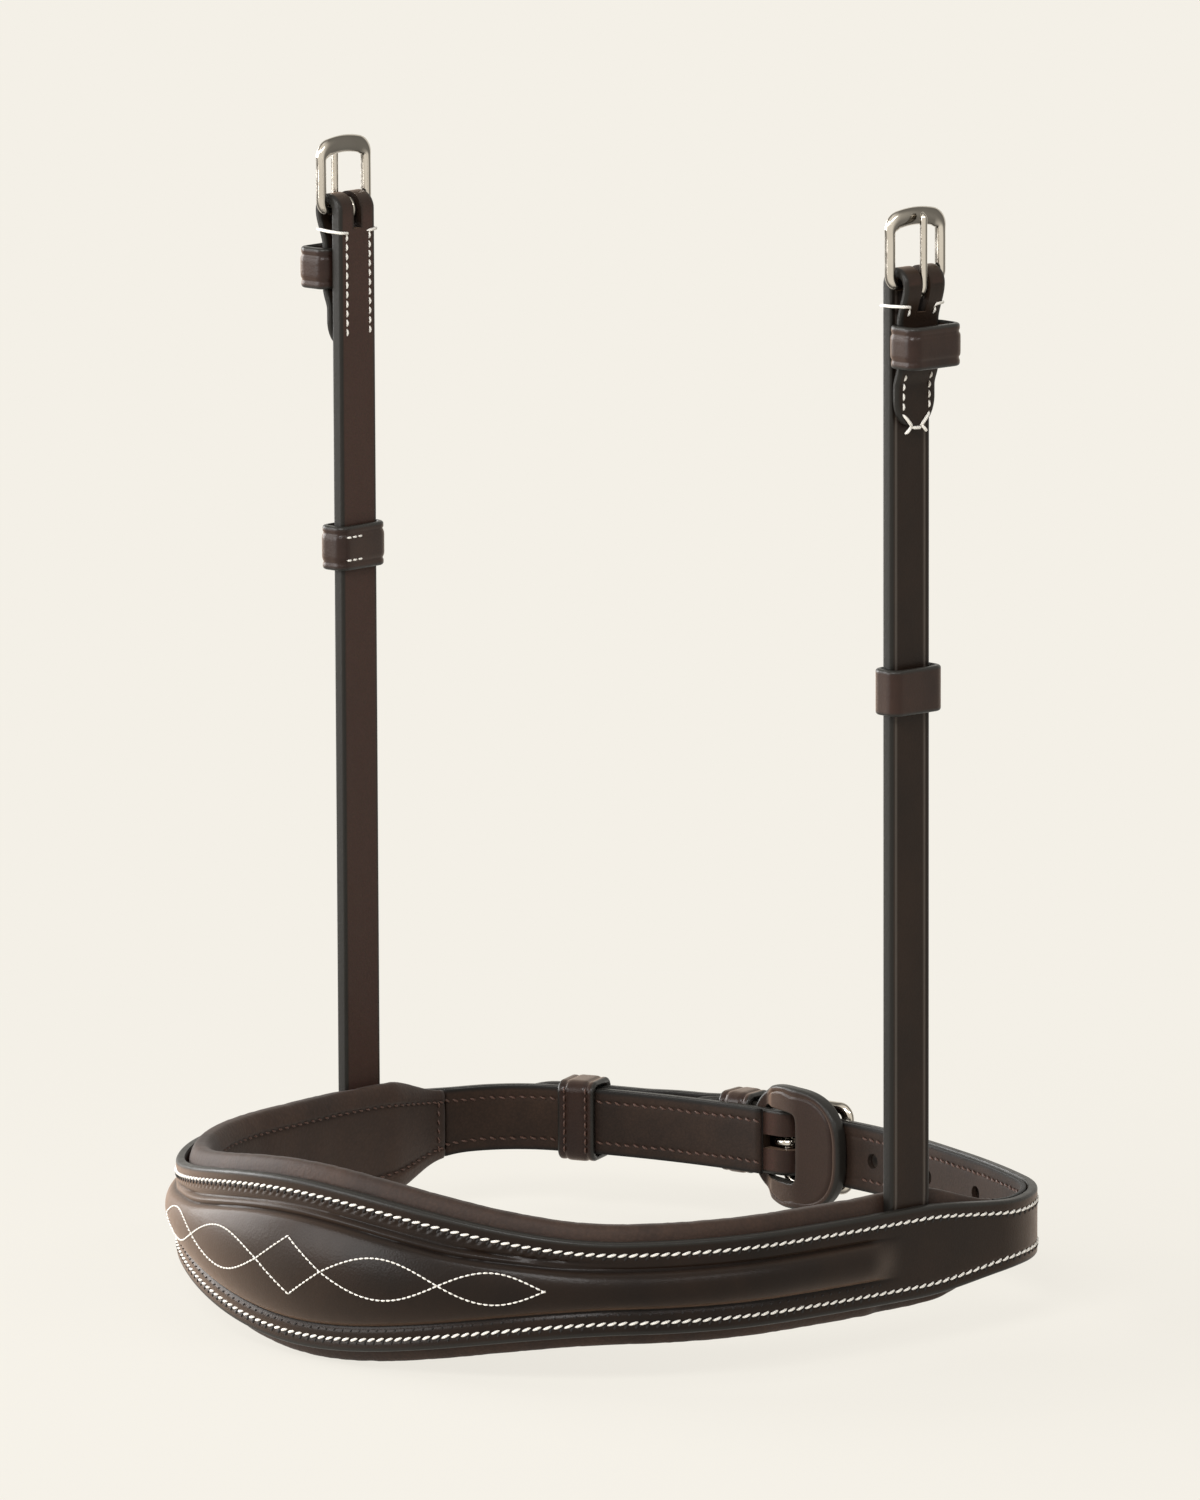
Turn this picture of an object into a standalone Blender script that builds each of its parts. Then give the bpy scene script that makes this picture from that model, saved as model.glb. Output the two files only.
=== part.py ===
"""Cavesson noseband: a padded, raised and stitched nose leather whose two ends
close under the jaw as billet and buckle strap, with a buckle guard, and a
hanger strap with its own buckle, keeper and runner on each cheek.

World frame: metres, +Z up, the nose front faces -Y, the horse's near (left)
side is +X, and the origin is the middle of the loop at half the band's height.

Band coordinates are used for everything that follows the loop: s is the way
along the loop from the middle of the nose (near side positive), w is the
distance outwards from the outer face of the nose leather, z is up.
Jaw coordinates put t = 0 at the middle of the jaw, positive to the off side.
"""

import math

import bmesh
import bpy
import numpy as np
from mathutils import Matrix, Vector

GAP = 0.0003
NAME = "cavesson_noseband"

# Loop seen from above: tangent arcs from the nose to the jaw; the last closes it
FRONT_RADIUS = 0.108
FRONT_TURN = math.radians(35)
CHEEK_RADIUS = 0.073
CHEEK_TURN = math.radians(47)
SIDE_RADIUS = 0.480
SIDE_TURN = math.radians(8)
CORNER_RADIUS = 0.030
CORNER_TURN = math.radians(66)

# Nose leather, one piece from the billet's point to the buckle turn
LEATHER = 0.0024
NOSE_HALF = 0.0198
BAND_HALF = 0.0109
STRAP_HALF = 0.0080
NOSE_TAPER = 0.086
BAND_END = 0.166
STRAP_START = 0.203
EDGE_FLAT = 0.0062
RAISE_FRONT = 0.0040
RAISE_CHEEK = 0.0026
RAISE_END = 0.160
RAISE_FADE = 0.012
EDGE_BEVEL = 0.0005
BILLET_TIP = 0.0120
TAB_TIP = 0.0080
CROSS_ROWS = np.array([-1.0, -0.75, -0.4, 0.0, 0.4, 0.75, 1.0])

# Pad under the nose leather: a lining turned round foam
PAD_END = 0.193
PAD_TAPER = 0.022
PAD_THICK = 0.0070
PAD_END_THICK = 0.0027
PAD_RIM = 0.0032
PAD_SKIN = 0.0010
PAD_SQUARE = 3.6

# Strap linings
LINING = 0.0012
LINING_BEVEL = 0.0002

# Hangers
HANGER_AT = 0.1646
HANGER_HALF = 0.0062
HANGER_THICK = 0.0030
HANGER_PIVOT = 0.0150
HANGER_BAR = 0.2287
HANGER_TAB = 0.0335
HANGER_TIP = 0.0070
TAB_THICK = 0.0016
TAIL_THICK = 0.0016
TAIL_LENGTH = 0.0220
BAR_RADIUS = 0.00125
BUCKLE_LENGTH = 0.0150
BUCKLE_SIDE_GAP = 0.0004
TOP_BAR_SWELL = 1.35
TONGUE_RADIUS = 0.0009
FRAME_CORNER = 0.0031
KEEPER_CORNER = 0.0012
KEEPER_BELOW_BAR = 0.0140
KEEPER_WIDTH = 0.0100
KEEPER_INNER_WALL = 0.0010
KEEPER_WALL = 0.0017
KEEPER_TUNNEL = 0.0050
RUNNER_WIDTH = 0.0108
RUNNER_PLAY = 0.0018
NEAR_RUNNER = 0.1335
OFF_RUNNER = 0.1470

# Jaw buckle, its guard, keeper and runner, along the jaw
JAW_BAR = 0.0178
JAW_WIRE = 0.0014
JAW_TONGUE = 0.0010
JAW_TAB_END = 0.0500
TAB_SKIVE = 0.70
BILLET_END = 0.0950
RISE_FROM = -0.0500
RIDE_LIFT = 0.0006
LINING_FROM = 0.0046
HOLE_PITCH = 0.0230
ENGAGED_SHARE = 0.52
HOLE_RADIUS = 0.0019
SIDE_PLAY = 0.0004
RIDE_PLAY = 0.00035
GUARD_FROM = -0.0058
GUARD_TO = 0.0285
GUARD_HALF = 0.0150
GUARD_THICK = 0.0034
BRIDGE_SHARE = 0.62
WINDOW_FROM = 0.0094
WINDOW_TO = 0.0240
WINDOW_PLAY = 0.0006
JAW_KEEPER = 0.0340
JAW_KEEPER_WIDTH = 0.0090
JAW_KEEPER_SEAT = 0.0021
JAW_RUNNER = 0.0754
JAW_RUNNER_WIDTH = 0.0096
BUCKLE_ROCK = math.radians(4)
SLOT_PLAY = 0.0007
CHAPE_SLOT = 0.0120
HANGER_SLOT = 0.0145

# How finely round things are cut
STEP = 0.0070
CORNER_STEP = 0.0040
FINE_STEP = 0.0030
FOLD_STEPS = 9
ARC_STEPS = 3


def blend(value, start, end):
    """0 before start, 1 after end, smooth between."""
    share = np.clip((np.asarray(value, float) - start) / (end - start), 0.0, 1.0)
    return share * share * (3.0 - 2.0 * share)


def through(knots, at):
    """A smooth curve through (place, value) knots that never overshoots them."""
    x, y = np.array(knots, float).T
    slopes = np.diff(y) / np.diff(x)
    ends = np.zeros(len(x))
    same = slopes[1:] * slopes[:-1] > 0
    total = slopes[1:] + slopes[:-1]
    ends[1:-1] = np.where(same, 2 * slopes[1:] * slopes[:-1] / np.where(same, total, 1), 0)
    at = np.clip(at, x[0], x[-1])
    i = np.clip(np.searchsorted(x, at, side="right") - 1, 0, len(x) - 2)
    width = x[i + 1] - x[i]
    u = (at - x[i]) / width
    rise = y[i] + (y[i + 1] - y[i]) * u * u * (3 - 2 * u)
    bend = ends[i] * u * (1 - u) ** 2 - ends[i + 1] * u * u * (1 - u)
    return rise + width * bend


class Plan:
    """The loop seen from above, as arcs, mirrored about the middle of the nose."""

    def __init__(self):
        arcs = [
            (FRONT_RADIUS, FRONT_TURN),
            (CHEEK_RADIUS, CHEEK_TURN),
            (SIDE_RADIUS, SIDE_TURN),
            (CORNER_RADIUS, CORNER_TURN),
        ]
        across, turned = 0.0, 0.0
        for radius, turn in arcs:
            across += radius * (math.sin(turned + turn) - math.sin(turned))
            turned += turn
        self.jaw_radius = across / math.sin(turned)
        arcs.append((self.jaw_radius, math.pi - turned))
        rows, x, y, s, turned = [], 0.0, 0.0, 0.0, 0.0
        for radius, turn in arcs:
            rows.append((s, turned, x, y, radius))
            x += radius * (math.sin(turned + turn) - math.sin(turned))
            y += radius * (math.cos(turned) - math.cos(turned + turn))
            s += radius * turn
            turned += turn
        self.start, self.turned, self.x, self.y, self.radius = np.array(rows).T
        self.half = s
        self.depth = y
        self.jaw_centre = y / 2 - self.jaw_radius
        self.jaw_arc = self.half - self.start[-1]

    def at(self, s):
        """(point, outward normal) in plan at each way s along the loop."""
        s = np.asarray(s, float)
        wrapped = (s + self.half) % (2 * self.half) - self.half
        side = np.where(wrapped < 0, -1.0, 1.0)
        i = np.searchsorted(self.start, np.abs(wrapped), side="right") - 1
        turn = self.turned[i] + (np.abs(wrapped) - self.start[i]) / self.radius[i]
        x = self.x[i] + self.radius[i] * (np.sin(turn) - np.sin(self.turned[i]))
        y = self.y[i] + self.radius[i] * (np.cos(self.turned[i]) - np.cos(turn))
        point = np.stack([side * x, y - self.depth / 2], -1)
        return point, np.stack([side * np.sin(turn), -np.cos(turn)], -1)

    def place(self, s, w):
        """Plan points at way s and distance w outwards."""
        point, normal = self.at(s)
        return point + normal * np.asarray(w, float)[..., None]

    def frame(self, s, w, z):
        """A matrix whose X points outwards, Y along the loop and Z up, at that place."""
        point, normal = self.at(s)
        spot = point + normal * w
        out = Vector((normal[0], normal[1], 0))
        along = Vector((-normal[1], normal[0], 0))
        axes = Matrix((out, along, Vector((0, 0, 1)))).transposed().to_4x4()
        return Matrix.Translation((spot[0], spot[1], z)) @ axes

    def stations(self, start, end):
        """Ways from start to end, closer together round the tight corners."""
        spots = [start]
        while spots[-1] < end:
            place = abs((spots[-1] + self.half) % (2 * self.half) - self.half)
            tight = self.start[3] - STEP < place < self.start[4] + CORNER_STEP
            spots.append(spots[-1] + (CORNER_STEP if tight else STEP))
        return np.interp(spots, (spots[0], spots[-1]), (start, end))


PLAN = Plan()


def clear_scene():
    for obj in list(bpy.data.objects):
        bpy.data.objects.remove(obj, do_unlink=True)


def new_collection(name, hidden=False):
    collection = bpy.data.collections.new(name)
    collection.hide_render = hidden
    bpy.context.scene.collection.children.link(collection)
    return collection


def material(name, color, roughness, metallic=0.0):
    made = bpy.data.materials.new(name)
    made.use_nodes = True
    shader = made.node_tree.nodes["Principled BSDF"]
    shader.inputs["Base Color"].default_value = (*color, 1.0)
    shader.inputs["Roughness"].default_value = roughness
    shader.inputs["Metallic"].default_value = metallic
    made.diffuse_color = (*color, 1.0)
    return made


class Workshop:
    """Makes objects in the part's collection, and cutters in a hidden one."""

    def __init__(self):
        self.parts = new_collection(NAME)
        self.cutters = new_collection("cutters", hidden=True)
        self.leather = material("bridle_leather", (0.045, 0.024, 0.016), 0.42)
        self.lining = material("lining_leather", (0.085, 0.050, 0.034), 0.60)
        self.foam = material("foam", (0.30, 0.28, 0.25), 0.95)
        self.felt = material("felt_core", (0.12, 0.10, 0.09), 0.95)
        self.nickel = material("polished_nickel", (0.72, 0.70, 0.66), 0.18, 1.0)

    def add(self, name, data, finish, matrix=None):
        obj = bpy.data.objects.new(name, data)
        obj.matrix_world = matrix or Matrix()
        data.materials.append(finish)
        self.parts.objects.link(obj)
        return obj

    def cutter(self, name, mesh_maker):
        """A hidden mesh object filled by mesh_maker(bm)."""
        mesh = bpy.data.meshes.new(name)
        bm = bmesh.new()
        mesh_maker(bm)
        bm.to_mesh(mesh)
        bm.free()
        obj = bpy.data.objects.new(name, mesh)
        obj.hide_render = True
        obj.display_type = "WIRE"
        self.cutters.objects.link(obj)
        return obj


def cut(obj, cutter):
    boolean = obj.modifiers.new("cut_" + cutter.name, "BOOLEAN")
    boolean.operation = "DIFFERENCE"
    boolean.solver = "EXACT"
    boolean.object = cutter


def sheet(shop, name, points, thickness, finish, shares=None, bevel=EDGE_BEVEL, matrix=None):
    """A leather sheet: a grid laid on its middle surface, then given its thickness.

    points is (stations, rows, 3). shares, one a station, thin it where it is skived.
    """
    count, rows = points.shape[:2]
    bm = bmesh.new()
    bmesh.ops.create_grid(bm, x_segments=count - 1, y_segments=rows - 1, size=0.5)
    weights = bm.verts.layers.deform.verify()
    for vert in bm.verts:
        i = round((vert.co.x + 0.5) * (count - 1))
        j = round((vert.co.y + 0.5) * (rows - 1))
        vert.co = points[i, j]
        vert[weights][0] = 1.0 if shares is None else float(shares[i])
    mesh = bpy.data.meshes.new(name)
    bm.to_mesh(mesh)
    bm.free()
    obj = shop.add(name, mesh, finish, matrix)
    obj.vertex_groups.new(name="thickness")
    solid = obj.modifiers.new("thickness", "SOLIDIFY")
    solid.thickness = thickness
    solid.offset = 0.0
    solid.use_even_offset = True
    solid.vertex_group = "thickness"
    edge = obj.modifiers.new("edge", "BEVEL")
    edge.width = bevel
    edge.segments = 1
    edge.limit_method = "ANGLE"
    edge.angle_limit = math.radians(50)
    flat = obj.modifiers.new("flat", "DECIMATE")
    flat.decimate_type = "DISSOLVE"
    flat.angle_limit = math.radians(0.2)
    return obj


def loft(shop, name, rings, finish):
    """A closed body through unlike closed sections; rings is (stations, points, 3)."""
    bm = bmesh.new()
    loops = [[bm.verts.new(point) for point in ring] for ring in rings]
    for first, second in zip(loops, loops[1:]):
        for k in range(len(first)):
            after = (k + 1) % len(first)
            bm.faces.new((first[k], first[after], second[after], second[k]))
    bm.faces.new(loops[0])
    bm.faces.new(loops[-1])
    bmesh.ops.recalc_face_normals(bm, faces=bm.faces)
    mesh = bpy.data.meshes.new(name)
    bm.to_mesh(mesh)
    bm.free()
    return shop.add(name, mesh, finish)


def smooth(obj):
    obj.data.polygons.foreach_set("use_smooth", [True] * len(obj.data.polygons))


def rounded_rectangle(x0, x1, y0, y1, radius):
    """Corner arcs and straight sides, anticlockwise."""
    spots = []
    corners = ((x1, y1, 0), (x0, y1, 90), (x0, y0, 180), (x1, y0, 270))
    for x, y, turn in corners:
        cx = x - math.copysign(radius, x - (x0 + x1) / 2)
        cy = y - math.copysign(radius, y - (y0 + y1) / 2)
        for step in range(ARC_STEPS + 1):
            angle = math.radians(turn + 90 * step / ARC_STEPS)
            spots.append((cx + radius * math.cos(angle), cy + radius * math.sin(angle)))
    return spots


def spline(curve, points, closed, radii=None):
    line = curve.splines.new("POLY")
    line.points.add(len(points) - 1)
    for k, (point, spot) in enumerate(zip(line.points, points)):
        point.co = (*spot, 0.0)[:3] + (1.0,)
        point.radius = 1.0 if radii is None else radii[k]
    line.use_cyclic_u = closed


def ring(shop, name, matrix, hole, walls, width, finish):
    """A leather keeper: a rounded hole (x0, x1, half) walled (inner, outer, side), width deep.

    The outline lies in the matrix's X and Y, and the width along its Z.
    """
    x0, x1, half = hole
    inner, outer, side = walls
    corner = KEEPER_CORNER
    curve = bpy.data.curves.new(name, "CURVE")
    curve.dimensions = "2D"
    curve.fill_mode = "BOTH"
    curve.extrude = width / 2
    spline(curve, rounded_rectangle(x0, x1, -half, half, corner), True)
    outline = rounded_rectangle(
        x0 - inner, x1 + outer, -half - side, half + side, corner + side
    )
    spline(curve, outline, True)
    return shop.add(name, curve, finish, matrix)


def wire(shop, name, matrix, points, closed, radius, radii=None):
    curve = bpy.data.curves.new(name, "CURVE")
    curve.dimensions = "3D"
    curve.bevel_depth = radius
    curve.bevel_resolution = 2
    curve.use_fill_caps = not closed
    flat = [(*point, 0.0)[:3] for point in points]
    spline(curve, flat, closed, radii)
    return shop.add(name, curve, shop.nickel, matrix)


def pivot(shop, name, matrix, pieces):
    """An empty on a joint's axis that carries pieces already in place."""
    empty = bpy.data.objects.new(name, None)
    empty.matrix_world = matrix
    empty.empty_display_size = 0.01
    shop.parts.objects.link(empty)
    for piece in pieces:
        piece.parent = empty
        piece.matrix_parent_inverse = matrix.inverted()
    return empty


def leather_half(s):
    """Half the height of the nose leather at way s."""
    way = np.abs(s)
    half = NOSE_HALF + (BAND_HALF - NOSE_HALF) * blend(way, 0, NOSE_TAPER)
    return half + (STRAP_HALF - BAND_HALF) * blend(way, BAND_END, STRAP_START)


def raised(s, z):
    """How far the filler lifts the nose leather at way s and height z."""
    way = np.abs(s)
    height = RAISE_FRONT + (RAISE_CHEEK - RAISE_FRONT) * blend(way, 0, NOSE_TAPER)
    height = height * (1 - blend(way, RAISE_END - RAISE_FADE, RAISE_END))
    across = np.clip(1 - (z / (leather_half(s) - EDGE_FLAT)) ** 2, 0, 1)
    return height * across**0.75


def cheek_dip(s):
    """How far the pad is pressed in where a hanger's tail lies on it."""
    off_centre = np.abs(np.abs(s) - HANGER_AT)
    return (TAIL_THICK + GAP) * (1 - blend(off_centre, HANGER_HALF, 2 * HANGER_HALF))


def band_points(path, halves, rows):
    """Grid points for a strap that follows path, (s, w) a station, with rows across it."""
    spots = PLAN.place(path[:, 0], path[:, 1])
    z = halves[:, None] * rows
    return np.concatenate([np.repeat(spots[:, None, :], rows.shape[-1], 1), z[..., None]], -1)


def beside(path, distance):
    """The path moved sideways by distance, to the outside when positive."""
    along = np.gradient(path, axis=0)
    along /= np.linalg.norm(along, axis=1)[:, None]
    return path + np.stack([-along[:, 1], along[:, 0]], -1) * distance


class Jaw:
    """Where the layers run under the jaw, in jaw coordinates (t, w)."""

    def __init__(self):
        self.stack = LEATHER + GAP + LINING
        self.bar = (JAW_BAR, JAW_WIRE + GAP)
        self.turn = JAW_WIRE + GAP + LEATHER / 2
        tab = LEATHER * TAB_SKIVE
        self.tab_low = GAP + tab / 2
        self.tab_over_keeper = 2 * GAP + JAW_KEEPER_SEAT + tab / 2
        self.tab_over_bridge = 3 * GAP + GUARD_THICK * BRIDGE_SHARE + tab / 2
        self.leaf = -LEATHER - GAP - GUARD_THICK / 2
        seat = -self.stack / 2
        self.billet_at_leaf = self.leaf + GUARD_THICK / 2 + GAP + self.stack / 2
        over_bar = self.bar[1] + JAW_WIRE + GAP + LEATHER + GAP + self.stack / 2
        self.billet_in_keeper = self.tab_over_keeper + tab / 2 + GAP + self.stack / 2
        tab_end = self.tab_low + tab / 2 + GAP + self.stack / 2
        self.billet_low = GAP + self.stack / 2
        self.billet_knots = [
            (RISE_FROM, seat),
            (-0.010, self.billet_at_leaf),
            (0.0005, self.billet_at_leaf),
            (0.0160, over_bar),
            (0.0200, over_bar),
            (0.0290, self.billet_in_keeper + RIDE_LIFT),
            (0.0390, self.billet_in_keeper),
            (0.0450, tab_end + RIDE_LIFT),
            (0.0515, tab_end),
            (0.0610, self.billet_low),
            (0.1100, self.billet_low),
        ]
        face = self.billet_at_leaf + self.stack / 2
        self.end_bar = (0.0, face + GAP + JAW_WIRE)

    def billet(self, s):
        """Middle of the billet's two layers at way s."""
        return through(self.billet_knots, np.asarray(s) - PLAN.half)

    def tab(self, t):
        """Middle of the turned-back tab at t."""
        top = self.bar[1] + self.turn
        knots = [
            (JAW_BAR, top),
            (WINDOW_TO + 0.001, self.tab_over_bridge + 0.0002),
            (GUARD_TO - 0.001, self.tab_over_bridge),
            (JAW_KEEPER - JAW_KEEPER_WIDTH / 2, self.tab_over_keeper),
            (JAW_KEEPER + JAW_KEEPER_WIDTH / 2, self.tab_over_keeper),
            (JAW_TAB_END - 0.005, self.tab_low),
            (JAW_TAB_END, self.tab_low),
        ]
        return through(knots, t)

    def guard(self, t):
        """Middle of the guard's leather at t."""
        knots = [
            (0.008, self.leaf),
            (JAW_BAR + JAW_WIRE, self.bar[1] - JAW_WIRE - GAP - GUARD_THICK / 2),
            (WINDOW_TO, GAP + GUARD_THICK * BRIDGE_SHARE / 2),
            (GUARD_TO, GAP + GUARD_THICK * BRIDGE_SHARE / 2),
        ]
        return through(knots, t)

    def point(self, t, w):
        spot = PLAN.place(np.array([PLAN.half + t]), np.array([w]))[0]
        return Vector((spot[0], spot[1], 0))


JAW = Jaw()


def tip_share(distance, length):
    """Narrowing towards a rounded point, by distance from the point."""
    share = np.clip(np.asarray(distance) / length, 0.0, 1.0)
    return np.sqrt(1 - (1 - share) ** 2) * 0.85 + 0.15


def nose_leather_path():
    """Middle line of the one-piece leather, from the tab's end to the billet's point."""
    tab_t = np.linspace(JAW_TAB_END, JAW_BAR, 13)
    tab = np.stack([tab_t - PLAN.half, JAW.tab(tab_t)], -1)
    angles = np.linspace(math.pi / 2, -math.pi / 2, FOLD_STEPS + 1)[1:]
    fold_t = JAW_BAR - JAW.turn * np.cos(angles)
    fold_w = JAW.bar[1] + JAW.turn * np.sin(angles)
    fold = np.stack([fold_t - PLAN.half, fold_w], -1)
    round_nose = PLAN.stations(JAW_BAR + LEATHER - PLAN.half, PLAN.half + RISE_FROM - STEP)
    nose = np.stack([round_nose, np.full(len(round_nose), -LEATHER / 2)], -1)
    billet = beside(billet_middle(), JAW.stack / 2 - LEATHER / 2)
    return np.concatenate([tab, fold, nose, billet]), len(tab), len(fold)


def billet_middle():
    """Middle line of the billet's two layers from where it starts to rise, to its point."""
    low = PLAN.half + JAW_TAB_END + 0.014
    coarse = np.arange(PLAN.half + RISE_FROM, PLAN.half - 0.012, STEP)
    rise = np.arange(PLAN.half - 0.010, low, FINE_STEP)
    tail = np.linspace(low, PLAN.half + BILLET_END, 9)
    ways = np.concatenate([coarse, rise, tail])
    return np.stack([ways, JAW.billet(ways)], -1)


def build_nose_leather(shop):
    path, tab_count, fold_count = nose_leather_path()
    s, w = path.T
    half = leather_half(s)
    first = np.arange(len(s)) < tab_count
    half = np.where(first, half * tip_share(s[0] - s, TAB_TIP), half)
    half = np.where(s > PLAN.half, half * tip_share(s[-1] - s, BILLET_TIP), half)
    crease = (leather_half(s) - EDGE_FLAT) / leather_half(s)
    edges = np.full((len(s), 1), 1.0)
    rows = np.concatenate([-edges, crease[:, None] * CROSS_ROWS, edges], 1)
    z = half[:, None] * rows
    on_nose = np.abs(s) < RAISE_END
    lift = np.where(on_nose[:, None], raised(s[:, None], z), 0.0)
    spots, normals = PLAN.at(s)
    flat = spots[:, None, :] + normals[:, None, :] * (w[:, None] + lift)[..., None]
    points = np.concatenate([flat, z[..., None]], -1)
    shares = np.ones(len(s))
    shares[:tab_count] = TAB_SKIVE
    shares[tab_count:tab_count + fold_count] = np.linspace(TAB_SKIVE, 1.0, fold_count)
    leather = sheet(shop, "nose_leather", points, LEATHER, shop.leather, shares)
    cut(leather, shop.holes)
    cut(leather, shop.engaged_hole)
    cut(leather, shop.chape_slot)
    return leather


def build_linings(shop):
    """The thin leather behind the billet and behind the buckle strap."""
    middle = billet_middle()
    near = PLAN.stations(PAD_END + GAP, PLAN.half + RISE_FROM - STEP)
    seat = np.stack([near, np.full(len(near), -JAW.stack / 2)], -1)
    path = beside(np.concatenate([seat, middle]), LINING / 2 - JAW.stack / 2)
    half = leather_half(path[:, 0])
    narrow = tip_share(middle[-1, 0] - path[:, 0], BILLET_TIP)
    half = np.where(path[:, 0] > PLAN.half, half * narrow, half)
    rows = np.array([[-1.0, 1.0]])
    billet = sheet(
        shop, "billet_lining", band_points(path, half, rows), LINING, shop.lining, bevel=LINING_BEVEL
    )
    cut(billet, shop.holes)
    cut(billet, shop.engaged_hole)
    ways = PLAN.stations(JAW_BAR + LINING_FROM - PLAN.half, -PAD_END - GAP)
    path = np.stack([ways, np.full(len(ways), LINING / 2 - JAW.stack)], -1)
    points = band_points(path, leather_half(ways), rows)
    sheet(shop, "buckle_strap_lining", points, LINING, shop.lining, bevel=LINING_BEVEL)


def oval(angles, half_thick, half_high):
    """A squarish oval section: (w, z) offsets from its middle."""
    power = 2 / PAD_SQUARE
    w = np.sign(np.cos(angles)) * np.abs(np.cos(angles)) ** power
    z = np.sign(np.sin(angles)) * np.abs(np.sin(angles)) ** power
    return half_thick[:, None] * w, half_high[:, None] * z


def pad_size(s):
    """(half thickness, half height, middle w) of the pad at way s."""
    fade = 1 - blend(np.abs(s), PAD_END - PAD_TAPER, PAD_END)
    thick = PAD_END_THICK + (PAD_THICK - PAD_END_THICK) * fade
    high = leather_half(s) + PAD_RIM * fade
    outer = -LEATHER - GAP - cheek_dip(s)
    inner = -LEATHER - GAP - thick
    return (outer - inner) / 2, high, (outer + inner) / 2


def section_points(s, middle, w, z):
    spots, normals = PLAN.at(s)
    flat = spots[:, None, :] + normals[:, None, :] * (middle[:, None] + w)[..., None]
    return np.concatenate([flat, z[..., None]], -1)


def build_pad(shop):
    """The turned lining, open at its hidden outer face, and the foam inside it."""
    s = np.linspace(-PAD_END, PAD_END, 2 * round(PAD_END / STEP) + 1)
    half_thick, high, middle = pad_size(s)
    slot = math.radians(18)
    outside = np.linspace(slot, 2 * math.pi - slot, 15)
    inside = np.linspace(2 * math.pi - slot, slot, 11)
    w_out, z_out = oval(outside, half_thick, high)
    w_in, z_in = oval(inside, half_thick - PAD_SKIN, high - PAD_SKIN)
    w = np.concatenate([w_out, w_in], 1)
    z = np.concatenate([z_out, z_in], 1)
    cover = loft(shop, "pad_lining", section_points(s, middle, w, z), shop.lining)
    smooth(cover)
    s = s[np.abs(s) < PAD_END - PAD_TAPER / 2]
    half_thick, high, middle = pad_size(s)
    inset = PAD_SKIN + GAP
    w, z = oval(inside, half_thick - inset, high - inset)
    foam = loft(shop, "pad_foam", section_points(s, middle, w, z), shop.foam)
    smooth(foam)


def build_filler(shop):
    """The shaped core that lifts the middle of the nose leather."""
    reach = RAISE_END - RAISE_FADE
    s = np.linspace(-reach, reach, 2 * round(reach / STEP) + 1)
    z = (leather_half(s) - EDGE_FLAT)[:, None] * CROSS_ROWS
    w = raised(s[:, None], z) - LEATHER / 2
    over, up = np.gradient(z, axis=1), np.gradient(w, axis=1)
    below = (LEATHER / 2 + 2 * GAP) / np.hypot(over, up)
    z_top = (z + up * below)[:, 1:-1]
    w_top = (w - over * below)[:, 1:-1]
    z = np.concatenate([z_top, z_top[:, [-1, 0]]], 1)
    w = np.concatenate([w_top, np.full((len(s), 2), -LEATHER)], 1)
    filler = loft(shop, "nose_filler", section_points(s, np.zeros(len(s)), w, z), shop.felt)
    smooth(filler)


def jaw_frame_matrix():
    """Origin at the heel bar, X towards the end bar, Y down, Z outwards."""
    bar = JAW.point(*JAW.bar)
    along = (JAW.point(*JAW.end_bar) - bar).normalized()
    down = Vector((0, 0, -1))
    axes = Matrix((along, down, along.cross(down))).transposed().to_4x4()
    return Matrix.Translation(bar) @ axes, (JAW.point(*JAW.end_bar) - bar).length


def frame_outline(length, half, radius):
    """Wire middle line of a buckle frame and which of its points are on the end bar."""
    outline = rounded_rectangle(0.0, length, -half, half, radius)
    return outline, [x > length - radius for x, _ in outline]


def tongue_outline(reach, length, radius):
    """A loop round the bar, a straight shank, and a tip that dips past the end bar.

    reach is from the bar's middle to the tongue's, and radius the tongue's own.
    """
    angles = np.radians(np.linspace(-25, -268, 10))
    loop = [(reach * math.cos(a), 0.0, reach * math.sin(a)) for a in angles]
    shank = [(1.5 * radius, 0.0, reach), (length * 0.5, 0.0, reach)]
    end = [(length + radius, 0.0, reach), (length + 2 * radius, 0.0, reach * 0.86)]
    return loop + shank + end


def build_jaw_buckle(shop):
    matrix, length = jaw_frame_matrix()
    half = STRAP_HALF + WINDOW_PLAY + JAW_WIRE
    outline, _ = frame_outline(length, half, FRAME_CORNER)
    frame = wire(shop, "jaw_buckle_frame", matrix, outline, True, JAW_WIRE)
    reach = JAW_WIRE + GAP + JAW_TONGUE
    line = tongue_outline(reach, length, JAW_TONGUE)
    tongue = wire(shop, "jaw_buckle_tongue", matrix, line, False, JAW_TONGUE)
    return frame, tongue


def box_cutter(bm, matrix, size, centre):
    box = bmesh.ops.create_cube(bm, size=1.0)["verts"]
    place = matrix @ Matrix.Translation(centre) @ Matrix.Diagonal((*size, 1.0))
    bmesh.ops.transform(bm, matrix=place, verts=box)


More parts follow.
